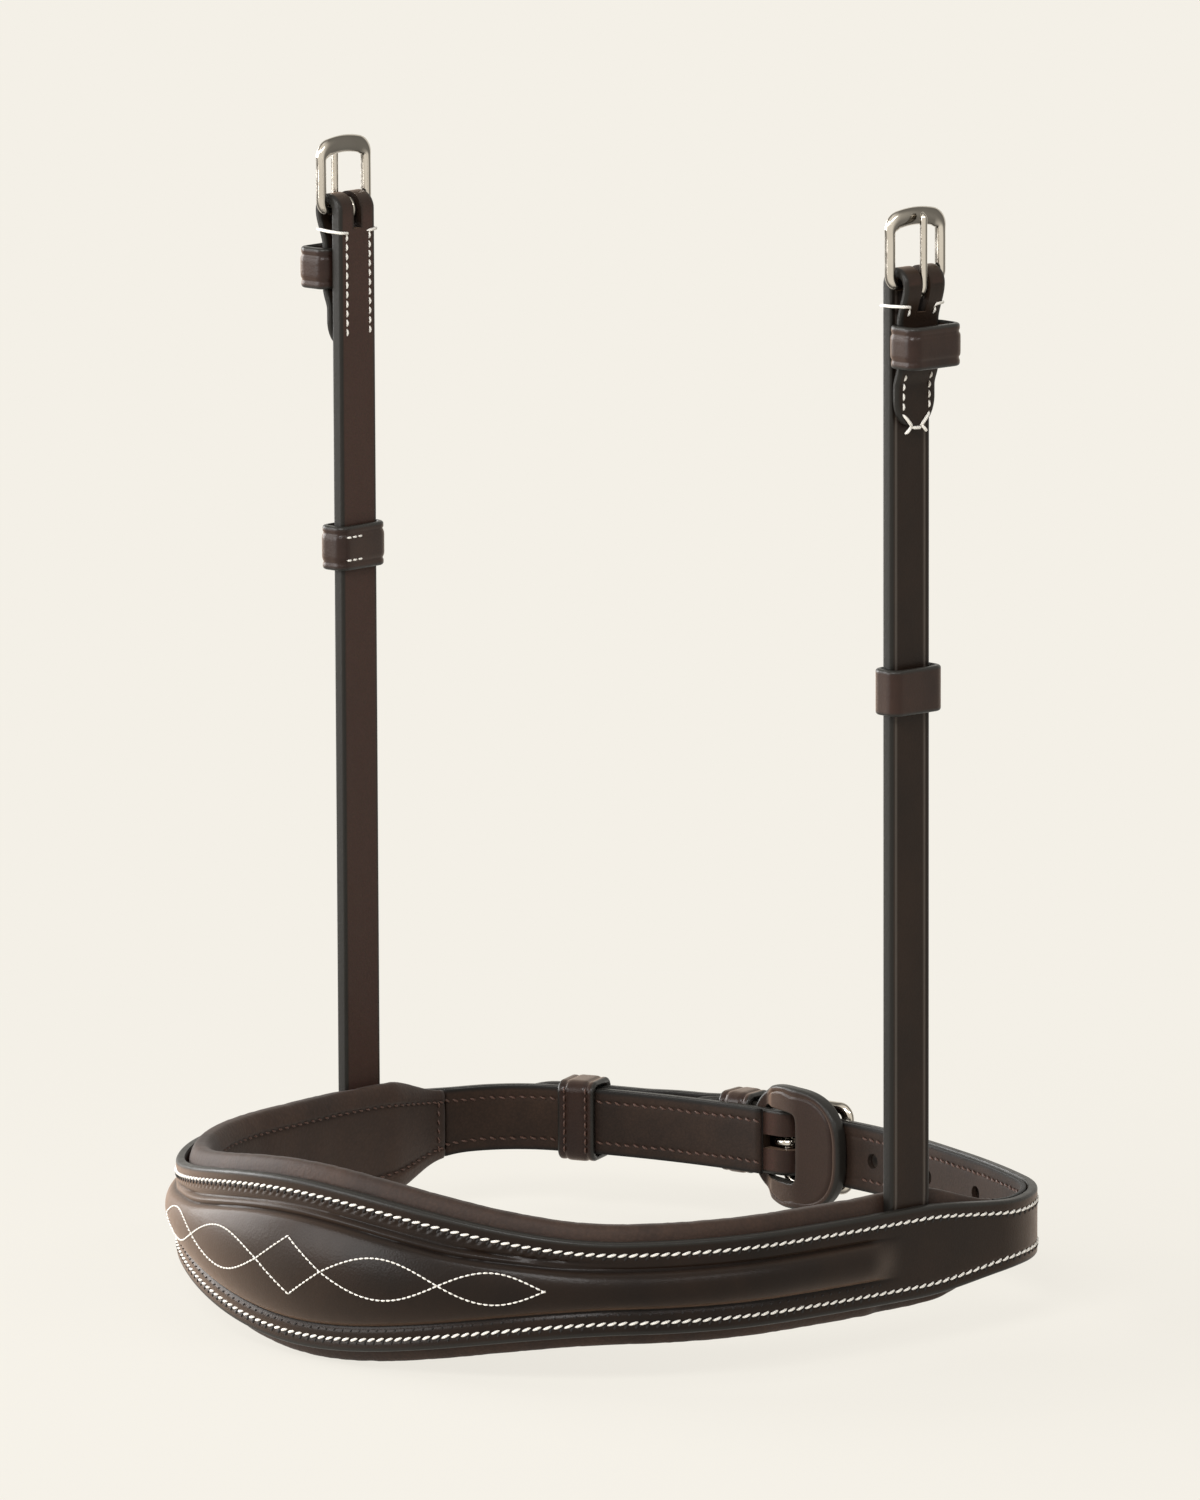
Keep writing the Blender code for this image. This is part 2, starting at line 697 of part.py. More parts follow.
def build_cutters(shop):
    matrix, length = jaw_frame_matrix()
    reach = JAW_WIRE + GAP + JAW_TONGUE

    def holes(bm):
        # The engaged hole is number 0; three wait on the near side, two on the tail
        for number in (-3, -2, -1, 1, 2):
            t = JAW_BAR * (1 - ENGAGED_SHARE) + number * HOLE_PITCH
            spot = PLAN.frame(PLAN.half + t, JAW.billet(PLAN.half + t), 0)
            turn = Matrix.Rotation(math.pi / 2, 4, "Y")
            bmesh.ops.create_cone(
                bm, cap_ends=True, segments=10, radius1=HOLE_RADIUS, radius2=HOLE_RADIUS,
                depth=4 * LEATHER, matrix=spot @ turn,
            )

    def engaged(bm):
        swing = length * math.sin(BUCKLE_ROCK)
        high = 2 * JAW_TONGUE + 2 * SLOT_PLAY + swing / 2
        wide = 2 * (JAW_TONGUE + SLOT_PLAY)
        centre = (length * ENGAGED_SHARE, 0.0, reach + swing / 4)
        box_cutter(bm, matrix, (length * 0.72, wide, high), centre)

    def slot(bm):
        wide = 2 * (JAW_TONGUE + SLOT_PLAY)
        place = PLAN.frame(PLAN.half + JAW_BAR, 0, 0)
        # Open for as much of the turned strap as the tongue's loop passes through
        box_cutter(bm, place, (0.020, CHAPE_SLOT, wide), (JAW.bar[1], -CHAPE_SLOT / 8, 0.0))

    shop.holes = shop.cutter("billet_holes", holes)
    shop.engaged_hole = shop.cutter("engaged_hole", engaged)
    shop.chape_slot = shop.cutter("chape_slot", slot)


def build_guard(shop):
    """The leaf between buckle and jaw, threaded on the buckle strap by its window."""
    middle = (GUARD_FROM + GUARD_TO) / 2
    reach = (GUARD_TO - GUARD_FROM) / 2
    share = np.sin(np.linspace(-1, 1, 17) * math.pi / 2 * 0.97)
    t = middle + reach * share
    half = GUARD_HALF * (1 - np.abs(share) ** 3) ** (1 / 3)
    path = np.stack([t + PLAN.half, JAW.guard(t)], -1)
    shares = 1 - (1 - BRIDGE_SHARE) * blend(t, JAW_BAR - 0.004, WINDOW_TO)
    rows = np.array([[-1.0, -0.5, 0.5, 1.0]])
    points = band_points(path, half, rows)
    guard = sheet(shop, "buckle_guard", points, GUARD_THICK, shop.leather, shares, 0.0006)

    def window(bm):
        high = 2 * (STRAP_HALF + WINDOW_PLAY)
        place = PLAN.frame(PLAN.half + (WINDOW_FROM + WINDOW_TO) / 2, 0, 0)
        box_cutter(bm, place, (0.030, WINDOW_TO - WINDOW_FROM, high), (0, 0, 0))

    cut(guard, shop.cutter("guard_window", window))
    return guard


def jaw_ring_matrix(t):
    """X outwards, Y up, Z along the loop, at t under the jaw."""
    base = PLAN.frame(PLAN.half + t, 0.0, 0.0)
    out, along = base.col[0].xyz, base.col[1].xyz
    axes = Matrix((out, Vector((0, 0, 1)), -along)).transposed().to_4x4()
    return Matrix.Translation(base.translation) @ axes


def build_jaw_loops(shop):
    side = STRAP_HALF + SIDE_PLAY
    top = JAW.billet_in_keeper + RIDE_LIFT + JAW.stack / 2 + RIDE_PLAY
    hole = (GAP + JAW_KEEPER_SEAT, top, side)
    walls = (JAW_KEEPER_SEAT, KEEPER_WALL, KEEPER_WALL)
    place = jaw_ring_matrix(JAW_KEEPER)
    ring(shop, "jaw_keeper", place, hole, walls, JAW_KEEPER_WIDTH, shop.leather)
    hole = (-JAW.stack - RIDE_PLAY, JAW.billet_low + JAW.stack / 2 + RIDE_PLAY, side)
    walls = (KEEPER_WALL, KEEPER_WALL, KEEPER_WALL)
    place = jaw_ring_matrix(JAW_RUNNER)
    return ring(shop, "jaw_runner", place, hole, walls, JAW_RUNNER_WIDTH, shop.leather)


class Hanger:
    """Sizes of a hanger in its own frame: X outwards, Z up, origin on its pivot."""

    def __init__(self):
        half = HANGER_THICK / 2
        self.turn = BAR_RADIUS + GAP + half
        self.bar = (self.turn, HANGER_BAR - HANGER_PIVOT)
        self.share = TAB_THICK / HANGER_THICK
        self.tab_low = half + GAP + TAB_THICK / 2
        self.tab_high = half + 2 * GAP + KEEPER_INNER_WALL + TAB_THICK / 2
        self.keeper = self.bar[1] - KEEPER_BELOW_BAR
        self.side = HANGER_HALF + SIDE_PLAY


HANGER = Hanger()


def hanger_path():
    """Middle line (x, z) of a hanger strap: up, over the bar and down its outer face."""
    x_bar, z_bar = HANGER.bar
    up = [(0.0, z) for z in (-0.0009, 0.02, 0.06, 0.11, 0.16, z_bar - 0.008, z_bar)]
    angles = np.linspace(math.pi, 0, FOLD_STEPS + 1)[1:]
    fold = [
        (x_bar + HANGER.turn * math.cos(a), z_bar + HANGER.turn * math.sin(a)) for a in angles
    ]
    keeper = KEEPER_WIDTH / 2
    knots = [
        (HANGER.keeper - z_bar - keeper - 0.012, HANGER.tab_low),
        (HANGER.keeper - z_bar - keeper - 0.005, HANGER.tab_low),
        (HANGER.keeper - z_bar - keeper, HANGER.tab_high),
        (HANGER.keeper - z_bar + keeper, HANGER.tab_high),
        (0.0, x_bar + HANGER.turn),
    ]
    drop = np.linspace(0, HANGER_TAB, 15)[1:]
    down = [(float(through(knots, -d)), z_bar - d) for d in drop]
    return np.array(up + fold + down), len(up), len(fold), drop


def build_hanger_strap(shop, name, matrix):
    path, up_count, fold_count, drop = hanger_path()
    half = np.full(len(path), HANGER_HALF)
    half[up_count + fold_count:] *= tip_share(HANGER_TAB - drop, HANGER_TIP)
    rows = np.array([-1.0, 1.0])
    y = half[:, None] * rows
    x = np.repeat(path[:, :1], 2, 1)
    z = np.repeat(path[:, 1:], 2, 1)
    shares = np.full(len(path), HANGER.share)
    shares[:up_count] = 1.0
    shares[up_count:up_count + fold_count] = np.linspace(1.0, HANGER.share, fold_count)
    points = np.stack([x, y, z], -1)
    strap = sheet(shop, name, points, HANGER_THICK, shop.leather, shares, matrix=matrix)
    wide = 2 * (TONGUE_RADIUS + SLOT_PLAY)
    size = (0.030, wide, HANGER_SLOT)

    def slot(bm):
        box_cutter(bm, matrix, size, (HANGER.bar[0], 0.0, HANGER.bar[1] + HANGER_SLOT / 6))

    cut(strap, shop.cutter(name + "_slot", slot))
    return strap


def build_hanger(shop, side, s, runner_at):
    """One hanger with its buckle, keeper and runner, and its tail under the nose leather."""
    tail_w = -LEATHER - GAP - TAIL_THICK / 2
    hinge = PLAN.frame(s, tail_w, HANGER_PIVOT)
    strap = build_hanger_strap(shop, side + "_hanger_strap", hinge)
    x_bar, z_bar = HANGER.bar
    above = Matrix.Translation((0, 0, HANGER.keeper))
    hole_x = HANGER_THICK / 2 + GAP + KEEPER_INNER_WALL
    tunnel = HANGER.tab_high + TAB_THICK / 2 + KEEPER_TUNNEL
    walls = (KEEPER_INNER_WALL, KEEPER_WALL, KEEPER_WALL)
    keeper = ring(
        shop, side + "_keeper", hinge @ above, (hole_x, tunnel, HANGER.side), walls,
        KEEPER_WIDTH, shop.leather,
    )
    slide = Matrix.Translation((0, 0, runner_at - HANGER_PIVOT))
    low = -HANGER_THICK / 2 - RIDE_PLAY
    walls = (KEEPER_WALL, KEEPER_WALL, KEEPER_WALL)
    runner = ring(
        shop, side + "_runner", hinge @ slide,
        (low, HANGER_THICK / 2 + RUNNER_PLAY, HANGER.side), walls, RUNNER_WIDTH, shop.leather,
    )
    # Buckle frame: X up the hanger, Y across it, Z outwards
    bar = hinge @ Matrix.Translation((x_bar, 0, z_bar)) @ upright()
    half = HANGER_HALF + BUCKLE_SIDE_GAP + BAR_RADIUS
    outline, on_end = frame_outline(BUCKLE_LENGTH, half, FRAME_CORNER)
    swell = [TOP_BAR_SWELL if end else 1.0 for end in on_end]
    frame = wire(shop, side + "_buckle_frame", bar, outline, True, BAR_RADIUS, swell)
    reach = BAR_RADIUS * TOP_BAR_SWELL + GAP + TONGUE_RADIUS
    line = tongue_outline(reach, BUCKLE_LENGTH, TONGUE_RADIUS)
    tongue = wire(shop, side + "_buckle_tongue", bar, line, False, TONGUE_RADIUS)
    build_tail(shop, side + "_hanger_tail", s, tail_w)
    pivot(shop, side + "_hanger_pivot", hinge, [strap, keeper, runner, frame, tongue])


def upright():
    """Turns X up, Y across and Z outwards."""
    return Matrix(((0, 0, 1), (0, -1, 0), (1, 0, 0))).to_4x4()


def build_tail(shop, name, s, w):
    """The skived end of a hanger, sewn between nose leather and pad."""
    top = HANGER_PIVOT - HANGER_THICK / 2 - GAP
    ways = s + np.array([-1.0, 0.0, 1.0]) * HANGER_HALF
    heights = np.array([top - TAIL_LENGTH, top - TAIL_LENGTH + 0.004, top])
    spots = PLAN.place(ways, np.full(3, w))
    points = np.zeros((3, 3, 3))
    points[..., :2] = spots[:, None, :]
    points[..., 2] = heights[None, :]
    sheet(shop, name, points, TAIL_THICK, shop.leather, bevel=LINING_BEVEL)


def main():
    clear_scene()
    shop = Workshop()
    build_cutters(shop)
    build_nose_leather(shop)
    build_linings(shop)
    build_pad(shop)
    build_filler(shop)
    frame, tongue = build_jaw_buckle(shop)
    guard = build_guard(shop)
    runner = build_jaw_loops(shop)
    matrix, _ = jaw_frame_matrix()
    pivot(shop, "jaw_buckle_pivot", matrix, [frame, tongue])
    centre = Matrix.Translation((0, PLAN.jaw_centre, 0))
    pivot(shop, "jaw_runner_pivot", centre, [runner])
    along = PLAN.frame(PLAN.half + (GUARD_FROM + GUARD_TO) / 2, 0, 0)
    pivot(shop, "guard_slide", along, [guard])
    build_hanger(shop, "near", HANGER_AT, NEAR_RUNNER)
    build_hanger(shop, "off", -HANGER_AT, OFF_RUNNER)


main()
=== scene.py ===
"""A padded cavesson noseband in havana bridle leather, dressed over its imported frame.

Everything is in metres in the row frame: +Z up the horse's face, the nose front
towards -Y, the near side towards +X. Band places are (s, w, z): s along the loop
from the middle of the nose (near side positive), w outwards from the outer face
of the nose leather, z up. Jaw places use t = s - half the loop, so t = 0 is the
middle of the jaw and t grows towards the off side.
"""

import logging
import math
from dataclasses import dataclass, field
from enum import Enum
from functools import cached_property, partial
from typing import Callable, Optional

import bmesh
import bpy
import numpy as np
from mathutils import Matrix, Vector

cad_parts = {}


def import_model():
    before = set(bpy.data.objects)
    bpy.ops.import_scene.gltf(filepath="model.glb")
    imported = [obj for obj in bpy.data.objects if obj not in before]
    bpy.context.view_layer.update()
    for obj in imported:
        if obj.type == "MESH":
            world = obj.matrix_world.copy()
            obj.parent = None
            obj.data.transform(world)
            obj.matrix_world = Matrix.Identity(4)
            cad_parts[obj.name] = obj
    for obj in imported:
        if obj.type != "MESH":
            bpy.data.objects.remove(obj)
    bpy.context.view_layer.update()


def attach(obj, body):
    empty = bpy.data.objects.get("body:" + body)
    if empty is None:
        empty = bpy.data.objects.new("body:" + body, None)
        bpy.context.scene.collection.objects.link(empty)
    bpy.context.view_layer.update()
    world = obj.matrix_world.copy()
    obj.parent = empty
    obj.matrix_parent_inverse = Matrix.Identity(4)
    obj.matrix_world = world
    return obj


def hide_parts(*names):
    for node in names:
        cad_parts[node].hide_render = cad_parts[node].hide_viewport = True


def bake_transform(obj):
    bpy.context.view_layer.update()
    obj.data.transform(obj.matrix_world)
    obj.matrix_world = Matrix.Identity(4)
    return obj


LOG = logging.getLogger("noseband")
MM = 0.001
GAP = 0.0003
LEATHER = 0.0024
LINING = 0.0012
HANGER_AT = 0.1646
HANGER_HALF = 0.0062
TAIL_THICK = 0.0016
PAD_END = 0.193
STITCH_PITCH = 2.5 * MM
TIP_LENGTH = 0.012
TIP_KEPT = 0.12
RGBA = {"data_type": "RGBA"}
UP = Vector((0, 0, 1))

Array = np.ndarray
Material = bpy.types.Material
Node = bpy.types.Node
Object = bpy.types.Object
Socket = bpy.types.NodeSocket
Add = Callable[..., Node]
Cutter = tuple[Matrix, tuple[float, float, float], int]


class Side(Enum):
    """The two sides of the horse, with the sign of s on each."""

    NEAR = 1
    OFF = -1


class Slot(Enum):
    """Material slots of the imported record."""

    LEATHER = "bridle_leather"
    LINING = "lining_leather"
    NICKEL = "nickel"


def smoothstep(value: Array, start: float, end: float) -> Array:
    """0 before start, 1 after end, and 3u^2 - 2u^3 of the share u between."""
    share = np.clip((np.asarray(value, float) - start) / (end - start), 0.0, 1.0)
    return share * share * (3.0 - 2.0 * share)


def bump(value: Array, middle: float, width: float) -> Array:
    """exp(-((value - middle) / width)^2), a soft ridge of height 1."""
    return np.exp(-(((np.asarray(value, float) - middle) / width) ** 2))


def through(knots: list[tuple[float, float]], at: Array) -> Array:
    """A smooth curve through knots that never overshoots them.

    Args:
        knots: (place, value) pairs in rising order of place.
        at: Places to read.

    Returns:
        Cubic Hermite values whose slopes are harmonic means of their neighbours'.
    """
    x, y = np.array(knots, float).T
    slopes = np.diff(y) / np.diff(x)
    ends = np.zeros(len(x))
    same = slopes[1:] * slopes[:-1] > 0
    total = slopes[1:] + slopes[:-1]
    ends[1:-1] = np.where(same, 2 * slopes[1:] * slopes[:-1] / np.where(same, total, 1), 0)
    at = np.clip(at, x[0], x[-1])
    i = np.clip(np.searchsorted(x, at, side="right") - 1, 0, len(x) - 2)
    width = x[i + 1] - x[i]
    u = (at - x[i]) / width
    rise = y[i] + (y[i + 1] - y[i]) * u * u * (3 - 2 * u)
    return rise + width * (ends[i] * u * (1 - u) ** 2 - ends[i + 1] * u * u * (1 - u))


def unit(vectors: Array) -> Array:
    """Vectors divided by their lengths."""
    return vectors / np.maximum(np.linalg.norm(vectors, axis=-1, keepdims=True), 1e-12)


def flat(plan: Array) -> Array:
    """Plan vectors, (n, 2), as level vectors in space."""
    return np.pad(plan, ((0, 0), (0, 1)))


def carried(matrix: Matrix, points: Array, shift: float = 1.0) -> Array:
    """Points, or with shift 0 directions, brought from the matrix's frame into the row's."""
    axes = np.array(matrix)
    return points @ axes[:3, :3].T + shift * axes[:3, 3]


def circle(count: int) -> Array:
    """Even angles once round."""
    return np.linspace(0, 2 * math.pi, count + 1)[:-1]


def superellipse(turn: Array, power: float) -> tuple[Array, Array]:
    """Squared-off cosine and sine of turn, for a superellipse of that power."""
    c, s = (np.sign(part) * np.abs(part) ** (2 / power) for part in (np.cos(turn), np.sin(turn)))
    return c, s


def round_off(distance: Array, radius: float) -> Array:
    """How far a face has dropped, by distance from an edge: a circle's quarter."""
    inside = np.clip(radius - distance, 0, radius)
    return radius - np.sqrt(radius**2 - inside**2)


def tip_share(distance: Array, length: float) -> Array:
    """Quarter-ellipse narrowing of a strap towards its rounded point."""
    share = np.clip(np.asarray(distance, float) / length, 0.0, 1.0)
    return TIP_KEPT + (1 - TIP_KEPT) * np.sqrt(1 - (1 - share) ** 2)


def waves(places: Array, pitch: float, seed: int) -> Array:
    """A gentle uneven wave within -1 to 1: five unlike sines of fixed random phases.

    Args:
        places: Where to read it, in metres.
        pitch: Length of the plain wave, in metres.
        seed: Seed of the phases.

    Returns:
        The wave at each place.
    """
    dice = np.random.default_rng(seed)
    total = np.zeros_like(np.asarray(places, float))
    for stretch in (1.0, 0.63, 1.71, 0.41, 2.9):
        total = total + np.sin(places * 2 * math.pi / (pitch * stretch) + dice.uniform(0, 6.3))
    return total / 5


def pose_of(x: Vector, y: Vector, z: Vector, spot: Vector) -> Matrix:
    """The matrix with those axes at that spot."""
    return Matrix.Translation(spot) @ Matrix((x, y, z)).transposed().to_4x4()


@dataclass(frozen=True)
class LoopPlan:
    """The loop seen from above: tangent arcs from nose to jaw, mirrored about the middle."""

    front: tuple[float, float] = (0.108, 35.0)
    cheek: tuple[float, float] = (0.073, 47.0)
    side: tuple[float, float] = (0.480, 8.0)
    corner: tuple[float, float] = (0.030, 66.0)

    @cached_property
    def arcs(self) -> Array:
        """Rows of (s, turned, x, y, radius); the last is the jaw arc that closes the loop.

        Returns:
            Five rows for the arcs and one for the end of the last.
        """
        given = [self.front, self.cheek, self.side, self.corner]
        pairs = [(radius, math.radians(turn)) for radius, turn in given]
        across, turned = 0.0, 0.0
        for radius, turn in pairs:
            across += radius * (math.sin(turned + turn) - math.sin(turned))
            turned += turn
        pairs.append((across / math.sin(turned), math.pi - turned))
        rows, x, y, s, turned = [], 0.0, 0.0, 0.0, 0.0
        for radius, turn in pairs:
            rows.append((s, turned, x, y, radius))
            x += radius * (math.sin(turned + turn) - math.sin(turned))
            y += radius * (math.cos(turned) - math.cos(turned + turn))
            s += radius * turn
            turned += turn
        rows.append((s, turned, x, y, 1.0))
        return np.array(rows)

    @property
    def half(self) -> float:
        """Half the way round the loop."""
        return float(self.arcs[-1, 0])

    def at(self, s: Array) -> tuple[Array, Array]:
        """Plan points and outward normals at ways s, each with a last axis of 2.

        Args:
            s: Ways, of any shape; they wrap round the loop.

        Returns:
            (points, normals), each with a last axis of 2.
        """
        start, turned, x0, y0, radius = self.arcs[:-1].T
        s = np.asarray(s, float)
        wrapped = (s + self.half) % (2 * self.half) - self.half
        sign = np.where(wrapped < 0, -1.0, 1.0)
        i = np.searchsorted(start, np.abs(wrapped), side="right") - 1
        turn = turned[i] + (np.abs(wrapped) - start[i]) / radius[i]
        x = x0[i] + radius[i] * (np.sin(turn) - np.sin(turned[i]))
        y = y0[i] + radius[i] * (np.cos(turned[i]) - np.cos(turn)) - self.arcs[-1, 3] / 2
        return np.stack([sign * x, y], -1), np.stack([sign * np.sin(turn), -np.cos(turn)], -1)

    def place(self, s: Array, w: Array, z: Array) -> Array:
        """Space points at band places (s, w, z), which broadcast together.

        Args:
            s: Ways along the loop.
            w: Distances outwards.
            z: Heights.

        Returns:
            Points with a last axis of 3.
        """
        s, w, z = np.broadcast_arrays(s, w, z)
        point, normal = self.at(s)
        return np.concatenate([point + normal * w[..., None], z[..., None]], -1)

    def frame(self, s: float, w: float, z: float) -> Matrix:
        """A matrix whose X points outwards, Y along the loop and Z up, at that place.

        Args:
            s: Way along the loop.
            w: Distance outwards.
            z: Height.

        Returns:
            The matrix.
        """
        point, normal = self.at(np.array(s))
        out = Vector((normal[0], normal[1], 0))
        along = Vector((-normal[1], normal[0], 0))
        return pose_of(out, along, UP, Vector((point[0], point[1], z)) + out * w)


PLAN = LoopPlan()


@dataclass(frozen=True)
class BandShape:
    """Heights of the nose leather and how far its core raises it."""

    nose_half: float = 0.0198
    band_half: float = 0.0109
    strap_half: float = 0.0080
    taper: float = 0.086
    strap_from: float = 0.166
    strap_to: float = 0.203
    edge_flat: float = 0.0062
    raise_front: float = 0.0040
    raise_cheek: float = 0.0026
    raise_end: float = 0.160
    raise_fade: float = 0.012
    raise_power: float = 0.75
    stitch_in: float = 0.0029

    def half(self, s: Array) -> Array:
        """Half the height of the leather at way s: two smooth steps from nose to strap.

        Args:
            s: Ways along the loop.

        Returns:
            Half heights, of the shape of s.
        """
        way = np.abs(s)
        half = self.nose_half + (self.band_half - self.nose_half) * smoothstep(way, 0, self.taper)
        narrowing = smoothstep(way, self.strap_from, self.strap_to)
        return half + (self.strap_half - self.band_half) * narrowing

    def pointed(self, s: Array) -> Array:
        """The same, narrowed to the billet's rounded point at the last of s."""
        half = self.half(s)
        return np.where(s > PLAN.half, half * tip_share(s[-1] - s, TIP_LENGTH), half)

    def on_nose(self, way: Array) -> Array:
        """1 along the raise, fading to 0 at its end."""
        return 1 - smoothstep(way, self.raise_end - self.raise_fade, self.raise_end)

    def lift(self, s: Array, z: Array) -> Array:
        """How far the core lifts the leather: height(s) (1 - (z / crease)^2)^raise_power.

        Args:
            s: Ways along the loop.
            z: Heights, which broadcast with s.

        Returns:
            Distances off the flat strap.
        """
        way = np.abs(s)
        drop = (self.raise_cheek - self.raise_front) * smoothstep(way, 0, self.taper)
        height = (self.raise_front + drop) * self.on_nose(way)
        across = np.clip(1 - (z / (self.half(s) - self.edge_flat)) ** 2, 0, 1)
        return height * across**self.raise_power


BAND = BandShape()


def linked(name: str, data: bpy.types.ID) -> Object:
    """An object of that data, linked to the scene.

    Args:
        name: The object's name.
        data: Its mesh, light or camera.

    Returns:
        The object.
    """
    obj = bpy.data.objects.new(name, data)
    bpy.context.scene.collection.objects.link(obj)
    return obj


def finished(name: str, mesh: bpy.types.Mesh, material: Material) -> Object:
    """A smooth-shaded object of that mesh and material, linked to the scene.

    Args:
        name: The object's name.
        mesh: Its mesh.
        material: Its finish.

    Returns:
        The object.
    """
    mesh.polygons.foreach_set("use_smooth", np.ones(len(mesh.polygons), bool))
    mesh.materials.append(material)
    mesh.update()
    LOG.info("%s: %d faces", name, len(mesh.polygons))
    return linked(name, mesh)


def settle(
    piece: Object, body: str, nodes: tuple[str, ...] = ()
) -> None:
    """Fastens a piece to its body, and hides the nodes of the frame that it replaces.

    Args:
        piece: The piece.
        body: The body that it rides on, or "" to leave it unfastened.
        nodes: The nodes of the frame that it replaces.
    """
    if nodes:
        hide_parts(*nodes)
    if body:
        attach(piece, body)


def ring_quads(index: Array) -> Array:
    """Quads between neighbouring rings of point numbers, (rings, points)."""
    a, b = index[:-1], index[1:]
    return np.stack([a, np.roll(a, -1, 1), np.roll(b, -1, 1), b], -1).reshape(-1, 4)


def mesh_piece(
    name: str, rings: Array, material: Material, looped: bool = False,
    strip_caps: bool = False, marks: Optional[dict[str, Array]] = None,
) -> Object:
    """A closed body through rings of points, each ring closed on itself.

    Args:
        name: The piece's name.
        rings: (stations, points, 3) array.
        material: Its finish.
        looped: Whether the last ring joins the first.
        strip_caps: Whether an end is closed by quads across a flat ring, not by one face.
        marks: Values per point, (stations, points), kept as mesh attributes.

    Returns:
        The object, linked to the scene, with its faces pointing outwards.
    """
    n, m = rings.shape[:2]
    index = np.arange(n * m).reshape(n, m)
    faces = [ring_quads(np.concatenate([index, index[:1]]) if looped else index)]
    lone: list[Array] = []
    if not looped and strip_caps:
        k = np.arange(m // 2 - 1)
        for ring, turn in ((index[0], -1), (index[-1], 1)):
            cap = np.stack([ring[k], ring[k + 1], ring[m - 2 - k], ring[m - 1 - k]], -1)
            faces.append(cap[:, ::turn])
    elif not looped:
        lone = [index[0][::-1], index[-1]]
    quads = np.concatenate(faces)
    points = rings.reshape(-1, 3)
    corner = points[quads]
    volume = 0.0
    for k in (1, 2):
        across = np.cross(corner[:, k], corner[:, k + 1])
        volume += np.einsum("ij,ij->i", corner[:, 0], across).sum()
    mesh = bpy.data.meshes.new(name)
    mesh.from_pydata(points.tolist(), [], quads.tolist() + [cap.tolist() for cap in lone])
    if volume < 0:
        mesh.flip_normals()
    for key, values in (marks or {}).items():
        layer = mesh.attributes.new(key, "FLOAT", "POINT")
        layer.data.foreach_set("value", np.broadcast_to(values, (n, m)).astype("f4").ravel())
    return finished(name, mesh, material)


def shell_piece(
    name: str, top: Array, bottom: Array, material: Material,
    looped: bool = False, marks: Optional[dict[str, tuple[Array, Array]]] = None,
) -> Object:
    """A leather sheet as two faces that share an outline, joined round it by a wall.

    Args:
        name: The piece's name.
        top: (stations, rows, 3) points of one face.
        bottom: The other face, row for row.
        material: Its finish.
        looped: Whether the sheet runs round into itself.
        marks: Attribute values for (top, bottom).

    Returns:
        The object.
    """
    shape = top.shape[:2]
    both = {
        key: np.concatenate([np.broadcast_to(a, shape), np.broadcast_to(b, shape)[:, ::-1]], 1)
        for key, (a, b) in (marks or {}).items()
    }
    rings = np.concatenate([top, bottom[:, ::-1]], 1)
    return mesh_piece(name, rings, material, looped, strip_caps=True, marks=both)


def cut_away(piece: Object, cutters: list[Cutter]) -> None:
    """Cuts slots and holes through a piece, one after another, and keeps the result.

    Args:
        piece: The piece to cut.
        cutters: (matrix, size, sides) for each: a box where sides is 0, else a round
            punch along the matrix's X with size (length, diameter, diameter).
    """
    punches = []
    for matrix, size, sides in cutters:
        tool = bmesh.new()
        if sides:
            bmesh.ops.create_cone(
                tool, cap_ends=True, segments=sides, radius1=0.5, radius2=0.5, depth=1.0
            )
            # The small twist keeps the punch's corners off the rows of the sheet
            turn = Matrix.Rotation(math.pi / 2, 4, "Y") @ Matrix.Rotation(0.11, 4, "Z")
            tool.transform(matrix @ turn @ Matrix.Diagonal((size[1], size[2], size[0], 1.0)))
        else:
            bmesh.ops.create_cube(tool, size=1.0)
            tool.transform(matrix @ Matrix.Diagonal((*size, 1.0)))
        mesh = bpy.data.meshes.new("punch")
        tool.to_mesh(mesh)
        tool.free()
        punch = linked("punch", mesh)
        modifier = piece.modifiers.new("punched", "BOOLEAN")
        modifier.operation = "DIFFERENCE"
        modifier.solver = "EXACT"
        modifier.object = punch
        punches.append(punch)
    graph = bpy.context.evaluated_depsgraph_get()
    cut = bpy.data.meshes.new_from_object(piece.evaluated_get(graph))
    piece.modifiers.clear()
    # Without sharp rims the shading of a hole's wall would smear over the face
    cut.set_sharp_from_angle(angle=math.radians(50))
    piece.data = cut
    for punch in punches:
        mesh = punch.data
        bpy.data.objects.remove(punch)
        bpy.data.meshes.remove(mesh)


def linear(code: str) -> tuple[float, float, float, float]:
    """The linear colour of an sRGB hex code such as "2b211c", by the standard's curve.

    Args:
        code: Six hex digits.

    Returns:
        (red, green, blue, 1).
    """
    srgb = np.array([int(code[k : k + 2], 16) for k in (0, 2, 4)]) / 255
    made = np.where(srgb <= 0.04045, srgb / 12.92, ((srgb + 0.055) / 1.055) ** 2.4)
    return (float(made[0]), float(made[1]), float(made[2]), 1.0)


def add_node(
    tree: bpy.types.NodeTree, kind: str, inputs: Optional[dict] = None, **settings: object
) -> Node:
    """Adds a shader node.

    Args:
        tree: The tree it goes into.
        kind: Its type, without the leading ShaderNode.
        inputs: For its inputs, by name or number: values, output sockets, or nodes, which
            stand for their first output in use.
        settings: Properties of the node.

    Returns:
        The node.
    """
    node = tree.nodes.new("ShaderNode" + kind)
    for key, value in settings.items():
        setattr(node, key, value)
    for key, value in (inputs or {}).items():
        if isinstance(value, Node):
            value = next(output for output in value.outputs if output.enabled)
        if isinstance(value, Socket):
            tree.links.new(value, node.inputs[key])
        else:
            node.inputs[key].default_value = value
    return node


